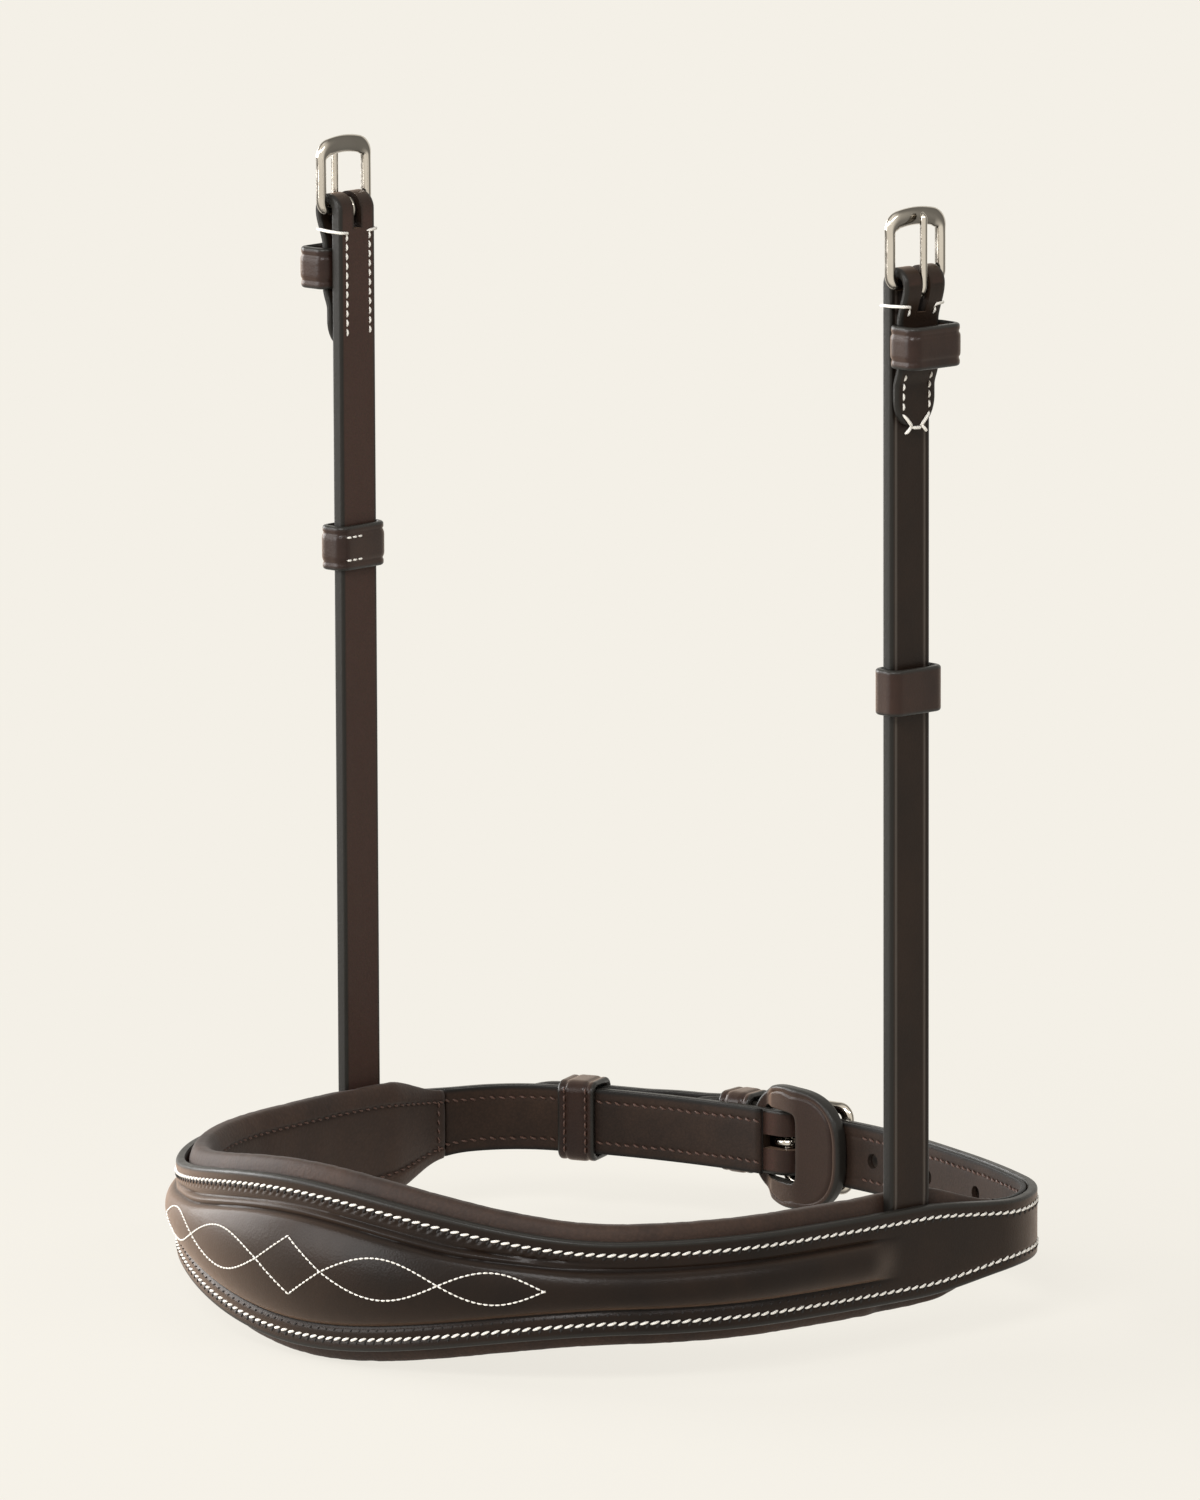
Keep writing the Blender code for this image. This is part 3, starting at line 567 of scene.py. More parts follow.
def blank_material(name: str) -> tuple[Material, Add]:
    """A material with an empty node tree, and the call that adds nodes to it.

    Args:
        name: The material's name.

    Returns:
        (material, add).
    """
    made = bpy.data.materials.new(name)
    made.use_nodes = True
    made.node_tree.nodes.clear()
    return made, partial(add_node, made.node_tree)


@dataclass(frozen=True)
class Finish:
    """A procedural material over Object coordinates, which holds still on a moving piece."""

    name: str

    def make(self) -> Material:
        """Builds the material.

        Returns:
            The material.
        """
        made, add = blank_material(self.name)
        place = add("TexCoord").outputs["Object"]
        add("OutputMaterial", {"Surface": self.shader(add, place)})
        return made

    def shader(self, add: Add, place: Socket) -> Node:
        """The finish's own shader.

        Args:
            add: The call that adds a node.
            place: Object coordinates.

        Returns:
            The node that goes to the surface.
        """
        raise NotImplementedError


@dataclass(frozen=True)
class LeatherFinish(Finish):
    """Vegetable-tanned cowhide, drum-dyed and waxed, with painted cut edges.

    The eye gets a dark brown that is uneven over a few centimetres, a fine pebble
    of pores under a soft wax gloss, and a painted sheen, a pale colour laid on where
    the surface turns away from the eye. Its edges are glossier and grey-black, its
    creases darkened by painted shade with a painted highlight along a crease's lip,
    and its flesh side, where the strap shows its back, is browner and fibrous.
    """

    name: str = "havana_bridle_leather"
    body: str = "140d09"
    light: str = "21160f"
    # Pale colour of the painted sheen, laid over the grain where the surface turns from the eye
    painted_sheen: str = "8f7562"
    edge: str = "22201d"
    flesh: str = "4a3026"
    # Near-black colour of the painted shade in the creases
    crease_shade: str = "0c0807"
    # Light colour of the painted highlight along the lip of a crease
    painted_glint: str = "7a7169"
    roughness: float = 0.45
    coat: float = 0.20
    shine: float = 0.08
    # How strongly the painted sheen is mixed in
    painted_sheen_share: float = 0.95
    pore_mm: float = 0.55
    pore_depth_mm: float = 0.045
    wrinkle_depth_mm: float = 0.05
    nap_depth_mm: float = 0.12
    gather_depth_mm: float = 0.15

    def shader(self, add: Add, place: Socket) -> Node:
        """Wax over dyed grain; a mark, such as edge or crease, that a piece lacks reads as 0.

        Args:
            add: The call that adds a node.
            place: Object coordinates.

        Returns:
            The node that goes to the surface.
        """
        edge, flesh, crease, glint, run, rim, pull = (
            add("Attribute", attribute_name=mark).outputs["Fac"]
            for mark in ("edge", "flesh", "crease", "glint", "run", "rim", "pull")
        )
        # Dye takes unevenly over some 25 mm of hide; wax streaks and scuffs are about 4 mm
        cloud, scuff, fibre = (
            add("TexNoise", {"Vector": place, "Scale": scale, "Detail": detail, "Roughness": rough})
            for scale, detail, rough in ((40.0, 4.0, 0.6), (260.0, 6.0, 0.7), (1900.0, 3.0, 0.75))
        )
        pores = add(
            "TexVoronoi", {"Vector": place, "Scale": 1000 / self.pore_mm, "Smoothness": 0.6},
            feature="SMOOTH_F1",
        )
        spread = add("MapRange", {"Value": cloud, "From Min": 0.35, "From Max": 0.68})
        nap = add(
            "Mix", {"Factor": 0.55, "A": linear(self.flesh), "B": fibre.outputs["Color"]},
            blend_type="MULTIPLY", **RGBA,
        )
        nap = add("HueSaturation", {"Saturation": 0.8, "Value": 1.3, "Color": nap})
        # Painted sheen: a pale colour mixed in on the grain side as the surface turns from the eye
        turned = add("LayerWeight", {"Blend": 0.5}).outputs["Facing"]
        away = add("Math", {0: turned, 1: 2.8}, operation="POWER")
        bare = add("Math", {0: flesh, 1: edge}, operation="MAXIMUM")
        grain_side = add("Math", {0: 1.0, 1: bare}, operation="SUBTRACT", use_clamp=True)
        grazing_mask = add("Math", {0: away, 1: grain_side}, operation="MULTIPLY")
        painted_sheen_mask = add("Math", {0: grazing_mask, 1: self.painted_sheen_share}, operation="MULTIPLY")
        # Over the dye go the nap, the edge paint, a painted sheen, painted shade in the creases
        # and, as a thin line along a crease's lip, a painted highlight
        colour = linear(self.body)
        for share, over in (
            (spread, linear(self.light)), (flesh, nap), (edge, linear(self.edge)),
            (painted_sheen_mask, linear(self.painted_sheen)), (crease, linear(self.crease_shade)), (glint, linear(self.painted_glint)),
        ):
            colour = add("Mix", {"Factor": share, "A": colour, "B": over}, **RGBA)
        # Painted edges shine more than the grain, and the bottom of a crease less
        polish = add("Math", {0: edge, 1: 0.08, 2: self.shine}, operation="MULTIPLY_ADD")
        shine = add(
            "Math", {0: crease, 1: -0.8 * self.shine, 2: polish},
            operation="MULTIPLY_ADD", use_clamp=True,
        )
        gloss = add(
            "MapRange",
            {"Value": scuff, "From Min": 0.3, "From Max": 0.7,
             "To Min": self.roughness - 0.07, "To Max": self.roughness + 0.10},
        )
        dull = add("Math", {0: flesh, 1: 0.42, 2: gloss}, operation="MULTIPLY_ADD")
        nappy = add("Math", {0: flesh, 1: fibre}, operation="MULTIPLY")
        skin = None
        for height, strength, depth in (
            (pores, 0.6, self.pore_depth_mm), (scuff, 0.5, self.wrinkle_depth_mm),
            (nappy, 0.7, self.nap_depth_mm),
            (self.gathers(add, run, rim, pull), 1.0, self.gather_depth_mm),
        ):
            below = {} if skin is None else {"Normal": skin}
            skin = add(
                "Bump", {"Height": height, "Strength": strength, "Distance": depth * MM, **below}
            )
        return add(
            "BsdfPrincipled",
            {"Base Color": colour, "Roughness": dull, "IOR": 1.45, "Specular IOR Level": shine,
             "Coat Weight": self.coat, "Coat Roughness": 0.27, "Normal": skin,
             "Coat Normal": skin},
        )

    def gathers(self, add: Add, run: Socket, rim: Socket, pull: Socket) -> Node:
        """Small ribs that the tight thread pulls up beside the top seam, one to a stitch.

        A sine along the run mark, slanted by the rim mark, under a bell 4.0 mm in from
        the edge, as strong as the pull mark.

        Args:
            add: The call that adds a node.
            run: Metres along the strap.
            rim: Metres in from the top edge.
            pull: How strong the ribs are.

        Returns:
            The height of the ribs.
        """
        slanted = add("Math", {0: rim, 1: 0.45, 2: run}, operation="MULTIPLY_ADD")
        turn = add("Math", {0: slanted, 1: 2 * math.pi / STITCH_PITCH}, operation="MULTIPLY")
        wave = add("Math", {0: turn}, operation="SINE")
        away = add("Math", {0: rim, 1: 4.0 * MM}, operation="SUBTRACT")
        far = add("Math", {0: away}, operation="ABSOLUTE")
        bell = add(
            "MapRange",
            {"Value": far, "From Min": 0.2 * MM, "From Max": 1.1 * MM,
             "To Min": 1.0, "To Max": 0.0},
            interpolation_type="SMOOTHSTEP",
        )
        ribs = add("Math", {0: wave, 1: bell}, operation="MULTIPLY")
        return add("Math", {0: ribs, 1: pull}, operation="MULTIPLY")


@dataclass(frozen=True)
class LiningFinish(Finish):
    """Soft chrome-tanned lining leather, drum-milled and left matt.

    The eye gets a mid brown a shade lighter than the bridle leather, a clear
    pebble grain of about 0.9 mm with painted shade in its valleys, no wax gloss, and,
    where the edge mark says so, a darker colour, which on the pad is painted shade in the seam
    groove.
    """

    name: str = "milled_lining_leather"
    body: str = "2f211a"
    light: str = "402e24"
    edge: str = "2a1e17"
    roughness: float = 0.62
    shine: float = 0.30
    pebble_mm: float = 0.9
    pebble_depth_mm: float = 0.07

    def shader(self, add: Add, place: Socket) -> Node:
        """Pebbled grain, with painted shade in its valleys, and darker where the edge mark says so.

        Args:
            add: The call that adds a node.
            place: Object coordinates.

        Returns:
            The node that goes to the surface.
        """
        edge = add("Attribute", attribute_name="edge").outputs["Fac"]
        cloud = add("TexNoise", {"Vector": place, "Scale": 55.0, "Detail": 5.0, "Roughness": 0.62})
        bend = add("TexNoise", {"Vector": place, "Scale": 600.0, "Detail": 2.0}).outputs["Color"]
        moved = add("Mix", {"Factor": 0.0012, "A": place, "B": bend}, data_type="VECTOR")
        pebble = add("TexVoronoi", {"Vector": moved, "Scale": 1000 / self.pebble_mm}, feature="F1")
        spread = add("MapRange", {"Value": cloud, "From Min": 0.36, "From Max": 0.66})
        # Painted shade: the grain's valleys are darkened
        valley_shade = add(
            "MapRange",
            {"Value": pebble, "From Min": 0.2, "From Max": 0.75, "To Min": 1.0, "To Max": 0.78},
        )
        body, light = linear(self.body), linear(self.light)
        dyed = add("Mix", {"Factor": spread, "A": body, "B": light}, **RGBA)
        shaded = add("Mix", {"Factor": 1.0, "A": dyed, "B": valley_shade}, blend_type="MULTIPLY", **RGBA)
        edged = add("Mix", {"Factor": edge, "A": shaded, "B": linear(self.edge)}, **RGBA)
        relief = add(
            "Bump", {"Height": pebble, "Strength": 0.7, "Distance": self.pebble_depth_mm * MM},
            invert=True,
        )
        return add(
            "BsdfPrincipled",
            {"Base Color": edged, "Roughness": self.roughness, "IOR": 1.45,
             "Specular IOR Level": self.shine, "Sheen Weight": 0.05, "Sheen Roughness": 0.45,
             "Normal": relief},
        )


@dataclass(frozen=True)
class ThreadFinish(Finish):
    """Bonded, waxed linen thread.

    The eye gets a fine twist across each stitch, about 0.3 mm from ply to ply,
    and a darker colour in the grooves of the twist.
    """

    name: str
    body: str
    twist_groove_colour: str
    roughness: float = 0.55

    def shader(self, add: Add, place: Socket) -> Node:
        """A slanted wave for the twist, in colour and relief.

        Args:
            add: The call that adds a node.
            place: Object coordinates.

        Returns:
            The node that goes to the surface.
        """
        twist = add(
            "TexWave", {"Vector": place, "Scale": 900.0, "Distortion": 2.0, "Detail": 1.0},
            wave_type="BANDS", bands_direction="DIAGONAL",
        ).outputs["Fac"]
        # The twist is darker in its grooves
        body, twist_groove_colour = linear(self.body), linear(self.twist_groove_colour)
        colour = add("Mix", {"Factor": twist, "A": twist_groove_colour, "B": body}, **RGBA)
        ply = add("Bump", {"Height": twist, "Strength": 0.5, "Distance": 0.05 * MM})
        return add(
            "BsdfPrincipled", {"Base Color": colour, "Roughness": self.roughness, "Normal": ply}
        )


@dataclass(frozen=True)
class NickelFinish(Finish):
    """Cast zinc under bright nickel plate, barrel polished.

    The eye gets a warm white mirror with a faint uneven haze and hair-fine rubs.
    Along its sides it mirrors the dark flags of a studio, which this pale room lacks:
    they are drawn as bands by how far the surface turns from the eye.
    """

    name: str = "polished_nickel_plate"
    body: str = "e4ddd2"
    dim: str = "cbc3b7"
    roughness: float = 0.11

    def shader(self, add: Add, place: Socket) -> Node:
        """A banded mirror; haze and rubs are noise on roughness and bump.

        Args:
            add: The call that adds a node.
            place: Object coordinates.

        Returns:
            The node that goes to the surface.
        """
        haze = add("TexNoise", {"Vector": place, "Scale": 420.0, "Detail": 5.0, "Roughness": 0.7})
        cast = add("TexNoise", {"Vector": place, "Scale": 130.0, "Detail": 2.0})
        gloss = add(
            "MapRange",
            {"Value": haze, "From Min": 0.3, "From Max": 0.7,
             "To Min": self.roughness - 0.05, "To Max": self.roughness + 0.12},
        )
        tint = add("Mix", {"Factor": cast, "A": linear(self.dim), "B": linear(self.body)}, **RGBA)
        dents = add("Bump", {"Height": cast, "Strength": 0.25, "Distance": 0.15 * MM})
        turned = add("LayerWeight", {"Blend": 0.5, "Normal": dents}).outputs["Facing"]
        flags = add("ValToRGB", {"Fac": turned})
        band = flags.color_ramp
        band.interpolation = "EASE"
        band.elements[0].position, band.elements[0].color = 0.10, (1.0, 1.0, 1.0, 1.0)
        band.elements[1].position, band.elements[1].color = 0.96, (0.75, 0.75, 0.75, 1.0)
        for at, level in ((0.30, 0.16), (0.46, 0.10), (0.60, 0.85), (0.74, 0.95), (0.84, 0.22)):
            band.elements.new(at).color = (level, level, level, 1.0)
        mirrored = add(
            "Mix", {"Factor": 0.92, "A": tint, "B": flags}, blend_type="MULTIPLY", **RGBA
        )
        return add(
            "BsdfPrincipled",
            {"Base Color": mirrored, "Metallic": 1.0, "Roughness": gloss, "Normal": dents},
        )


def made_by(finish: Finish) -> Material:
    """A dataclass field that holds the finish's material."""
    return field(default_factory=finish.make)


@dataclass
class Finishes:
    """The materials that the pieces share."""

    leather: Material = made_by(LeatherFinish())
    loops: Material = made_by(
        LeatherFinish("keeper_leather", body="1f1411", light="33221b", roughness=0.38, coat=0.35)
    )
    lining: Material = made_by(LiningFinish())
    backing: Material = made_by(
        LiningFinish(
            "strap_backing_leather", body="261b15", light="35261d", edge="141210",
            roughness=0.6, shine=0.20, pebble_mm=0.7, pebble_depth_mm=0.035,
        )
    )
    white: Material = made_by(ThreadFinish("white_linen_thread", "fffdf8", "dcd5ca"))
    brown: Material = made_by(ThreadFinish("brown_linen_thread", "5b3c2f", "33211a"))
    # Dark thread that stands in for the shade in awl holes: painted shade
    dark: Material = made_by(ThreadFinish("awl_hole_shade", "16110f", "0f0c0b", 0.8))
    nickel: Material = made_by(NickelFinish())


@dataclass(frozen=True)
class StripProfile:
    """Rows across a strap, from one edge to the other, with the relief of its margins.

    Each margin is the same distance in from its edge whatever the strap's height.
    """

    margin: float = 0.0062
    rounding: float = 0.0008
    centre_rows: int = 23

    @cached_property
    def from_edge(self) -> Array:
        """Distances in from an edge: a quarter round, then the margin's own rows.

        Returns:
            Distances in rising order, the margin last.
        """
        rim = self.rounding * (1 - np.cos(np.linspace(0, math.pi / 2, 6)))
        rows = np.array([1.2, 1.7, 2.2, 2.5, 2.7, 2.9, 3.1, 3.3, 3.6, 4.0, 4.4, 4.7, 5.0, 5.4, 5.8,
                         6.1, 6.4, 6.7, 7.0, 7.3, 7.6, 7.9, 8.2, 8.5, 8.8]) * MM
        return np.concatenate([rim, rows[rows < self.margin - 0.2 * MM], [self.margin]])

    def rows(self, half: Array) -> tuple[Array, Array, Array]:
        """Heights of the rows.

        Args:
            half: Half the strap's height at each station.

        Returns:
            (z, d, fall): heights (stations, rows), nominal distances from the nearest
            edge, and how far a face has dropped there.
        """
        squeeze = np.minimum(1.0, half / (self.margin * 1.05))[:, None]
        margin = self.from_edge * squeeze
        share = np.sin(np.linspace(-1, 1, self.centre_rows + 2)[1:-1] * math.pi / 2)
        half = half[:, None]
        centre = (half - margin[:, -1:]) * share
        z = np.concatenate([margin - half, centre, (half - margin)[:, ::-1]], 1)
        middle = np.full(self.centre_rows, 1.0)
        d = np.concatenate([self.from_edge, middle, self.from_edge[::-1]])
        d = np.broadcast_to(d, z.shape)
        return z, d, round_off(d, self.rounding)


@dataclass
class Path:
    """A line, (stations, 2), that a strap's middle surface follows, in plan or edge on."""

    points: Array

    @classmethod
    def round_the_band(cls, s: Array, w: Array) -> "Path":
        """The path through band places (s, w)."""
        base, normal = PLAN.at(s)
        return cls(base + normal * w[:, None])

    @cached_property
    def out(self) -> Array:
        """Normals to the right of the way it runs, which is outwards for rising s."""
        along = unit(np.gradient(self.points, axis=0))
        return np.stack([along[:, 1], -along[:, 0]], -1)

    def surface(self, distance: Array, z: Array) -> Array:
        """Space points at that distance off the middle surface and that height."""
        off = self.points[:, None] + self.out[:, None] * distance[..., None]
        return np.concatenate([off, z[..., None]], -1)

    def row(self, distance: float, z: Array) -> Array:
        """One line of space points at that distance off and those heights."""
        return self.surface(np.full((len(z), 1), distance), z[:, None])[:, 0]


@dataclass(frozen=True)
class ThreadRow:
    """Stitches laid along a line on a surface."""

    pitch: float
    length: float
    radius: float
    slant: float = 0.0
    sink: float = 0.35
    arch: float = 0.6

    def stitches(self, line: Array, normal: Array, phase: float = 0.5) -> Array:
        """Closed rings of every stitch on the line.

        Each stitch is a thread that comes up out of the leather, arches over and goes
        down again; its radius follows a half sine raised to 0.4.

        Args:
            line: (n, 3) points of the line.
            normal: (n, 3) surface normals there.
            phase: Where the first stitch sits, as a share of the pitch.

        Returns:
            (stitches, 7 rings, 6 points, 3).
        """
        way = np.concatenate([[0], np.cumsum(np.linalg.norm(np.diff(line, axis=0), axis=1))])
        places = np.arange(phase * self.pitch, way[-1], self.pitch)

        def read(values: Array, shift: float = 0.0) -> Array:
            """Values at the stitches' places, moved on by shift."""
            return np.stack([np.interp(places + shift, way, column) for column in values.T], -1)

        up = unit(read(normal))
        along = unit(read(line, 1e-4) - read(line, -1e-4))
        lean = math.radians(self.slant)
        run = along * math.cos(lean) + unit(np.cross(up, along)) * math.sin(lean)
        across = unit(np.cross(up, run))
        u = np.linspace(0, 1, 7)
        rise = self.radius * (self.arch * np.sin(math.pi * u) * 1.6 - self.sink)
        thick = self.radius * np.maximum(np.sin(math.pi * u), 0.0) ** 0.4
        thick[[0, -1]] = self.radius * 0.15
        reach = run[:, None] * ((u - 0.5) * self.length)[None, :, None]
        spine = read(line)[:, None] + reach + up[:, None] * rise[None, :, None]
        turn = circle(6)[None, None, :, None]
        ring = across[:, None, None] * np.cos(turn) + up[:, None, None] * np.sin(turn)
        return spine[:, :, None] + ring * thick[None, :, None, None]


def thread_piece(name: str, batches: list[Array], material: Material, body: str = "band") -> None:
    """One mesh of many separate stitches.

    Args:
        name: The piece's name.
        batches: Arrays of rings from ThreadRow.stitches.
        material: The thread.
        body: The body that it rides on.
    """
    rings = np.concatenate(batches)
    count, n, m = rings.shape[:3]
    quads = np.roll(ring_quads(np.arange(n * m).reshape(n, m))[:, ::-1], 1, 1)
    caps = np.array([[0, 1, 2, 3], [0, 3, 4, 5]])
    one = np.concatenate([quads, caps, caps[:, ::-1] + (n - 1) * m])
    every = (one[None] + (np.arange(count) * n * m)[:, None, None]).reshape(-1, 4)
    mesh = bpy.data.meshes.new(name)
    mesh.from_pydata(rings.reshape(-1, 3).tolist(), [], every.tolist())
    tool = bmesh.new()
    tool.from_mesh(mesh)
    bmesh.ops.recalc_face_normals(tool, faces=tool.faces)
    tool.to_mesh(mesh)
    tool.free()
    settle(finished(name, mesh, material), body)


@dataclass(frozen=True)
class JawLayers:
    """Where the layers run under the jaw, in jaw places (t, w), as the frame has them."""

    bar_t: float = 0.0178
    wire: float = 0.0014
    tab_end: float = 0.0500
    tab_share: float = 0.70
    billet_end: float = 0.0950
    rise_from: float = -0.0500
    ride_lift: float = 0.0006
    lining_from: float = 0.0046
    guard_from: float = -0.0058
    guard_to: float = 0.0285
    guard_half: float = 0.0150
    guard_thick: float = 0.0034
    bridge_share: float = 0.62
    window_from: float = 0.0094
    window_to: float = 0.0240
    window_play: float = 0.0006
    keeper_t: float = 0.0340
    keeper_width: float = 0.0090
    keeper_seat: float = 0.0021
    runner_t: float = 0.0754
    runner_width: float = 0.0096
    hole_pitch: float = 0.0230
    hole_radius: float = 0.0019
    hole_deep: float = 0.0096
    slot_share: float = 0.72
    slot_wide: float = 0.0034
    slot_deep: float = 0.0040
    engaged_share: float = 0.52
    side_play: float = 0.0004
    ride_play: float = 0.00035
    wall: float = 0.0017

    # Strap and lining together, the skived tab, and the turn round the bar
    stack: float = LEATHER + GAP + LINING
    tab_thick: float = LEATHER * tab_share
    bar_w: float = wire + GAP
    turn: float = wire + GAP + LEATHER / 2
    # Middles of the tab on the keeper, and of the billet on the leaf, the tab and the strap
    tab_over_keeper: float = 2 * GAP + keeper_seat + tab_thick / 2
    billet_at_leaf: float = -LEATHER + stack / 2
    billet_in_keeper: float = tab_over_keeper + tab_thick / 2 + GAP + stack / 2
    billet_low: float = GAP + stack / 2

    def billet(self, t: Array) -> Array:
        """Middle of the billet's two layers at t.

        Args:
            t: Jaw places along the strap.

        Returns:
            Distances w outwards.
        """
        over_bar = self.bar_w + self.wire + GAP + LEATHER + GAP + self.stack / 2
        tab_end = GAP + self.tab_thick + GAP + self.stack / 2
        knots = [
            (self.rise_from, -self.stack / 2), (-0.0100, self.billet_at_leaf),
            (0.0005, self.billet_at_leaf), (0.0160, over_bar), (0.0200, over_bar),
            (0.0290, self.billet_in_keeper + self.ride_lift), (0.0390, self.billet_in_keeper),
            (0.0450, tab_end + self.ride_lift), (0.0515, tab_end),
            (0.0610, self.billet_low), (0.1100, self.billet_low),
        ]
        return through(knots, t)

    def tab(self, t: Array) -> Array:
        """Middle of the turned-back tab at t.

        Args:
            t: Jaw places along the strap.

        Returns:
            Distances w outwards.
        """
        over_bridge = 3 * GAP + self.guard_thick * self.bridge_share + self.tab_thick / 2
        low = GAP + self.tab_thick / 2
        knots = [
            (self.bar_t, self.bar_w + self.turn), (self.window_to + 0.001, over_bridge + 0.0002),
            (self.guard_to - 0.001, over_bridge),
            (self.keeper_t - self.keeper_width / 2, self.tab_over_keeper),
            (self.keeper_t + self.keeper_width / 2, self.tab_over_keeper),
            (self.tab_end - 0.005, low), (self.tab_end, low),
        ]
        return through(knots, t)

    def guard(self, t: Array) -> Array:
        """Middle of the guard's leather at t.

        Args:
            t: Jaw places along the strap.

        Returns:
            Distances w outwards.
        """
        bridge = GAP + self.guard_thick * self.bridge_share / 2
        knots = [
            (0.008, -LEATHER - GAP - self.guard_thick / 2),
            (self.bar_t + self.wire, self.bar_w - self.wire - GAP - self.guard_thick / 2),
            (self.window_to, bridge), (self.guard_to, bridge),
        ]
        return through(knots, t)

    def ring_frame(self, t: float) -> Matrix:
        """X outwards, Y up and Z along the strap, at t."""
        base = PLAN.frame(PLAN.half + t, 0.0, 0.0)
        return pose_of(base.col[0].xyz, UP, -base.col[1].xyz, base.translation)

    def buckle_frame(self) -> tuple[Matrix, float]:
        """The buckle's matrix (X to the end bar, Y down, Z outwards) and its length.

        Returns:
            (matrix, length).
        """
        bar = PLAN.frame(PLAN.half + self.bar_t, self.bar_w, 0.0).translation
        end_w = self.billet_at_leaf + self.stack / 2 + GAP + self.wire
        end = PLAN.frame(PLAN.half, end_w, 0.0).translation
        along = (end - bar).normalized()
        return pose_of(along, -UP, along.cross(-UP), bar), (end - bar).length


JAW = JawLayers()


def billet_line() -> tuple[Array, Array]:
    """Middle line (s, w) of the billet's two layers from its rise to its point.

    Returns:
        (s, w).
    """
    ease = np.cos(np.linspace(0, math.pi / 2, 10)) * TIP_LENGTH
    body = np.arange(JAW.rise_from, JAW.billet_end - 0.0125, 0.0015)
    t = np.concatenate([body, JAW.billet_end - ease])
    return PLAN.half + t, JAW.billet(t)


def billet_holes() -> list[Cutter]:
    """The billet's round holes, and the slot where the tongue is engaged.

    Returns:
        What cut_away needs for each.
    """
    made = []
    size = (JAW.hole_deep, 2 * JAW.hole_radius, 2 * JAW.hole_radius)
    for number in (-3, -2, -1, 1, 2):
        t = JAW.bar_t * (1 - JAW.engaged_share) + number * JAW.hole_pitch
        place = PLAN.frame(PLAN.half + t, float(JAW.billet(np.array(t))), 0)
        made.append((place, size, 24))
    matrix, length = JAW.buckle_frame()
    reach = JAW.wire + GAP + 0.0010
    centre = Matrix.Translation((length * JAW.engaged_share, 0.0, reach + 0.0003))
    slot = (length * JAW.slot_share, JAW.slot_wide, JAW.slot_deep)
    made.append((matrix @ centre, slot, 0))
    return made


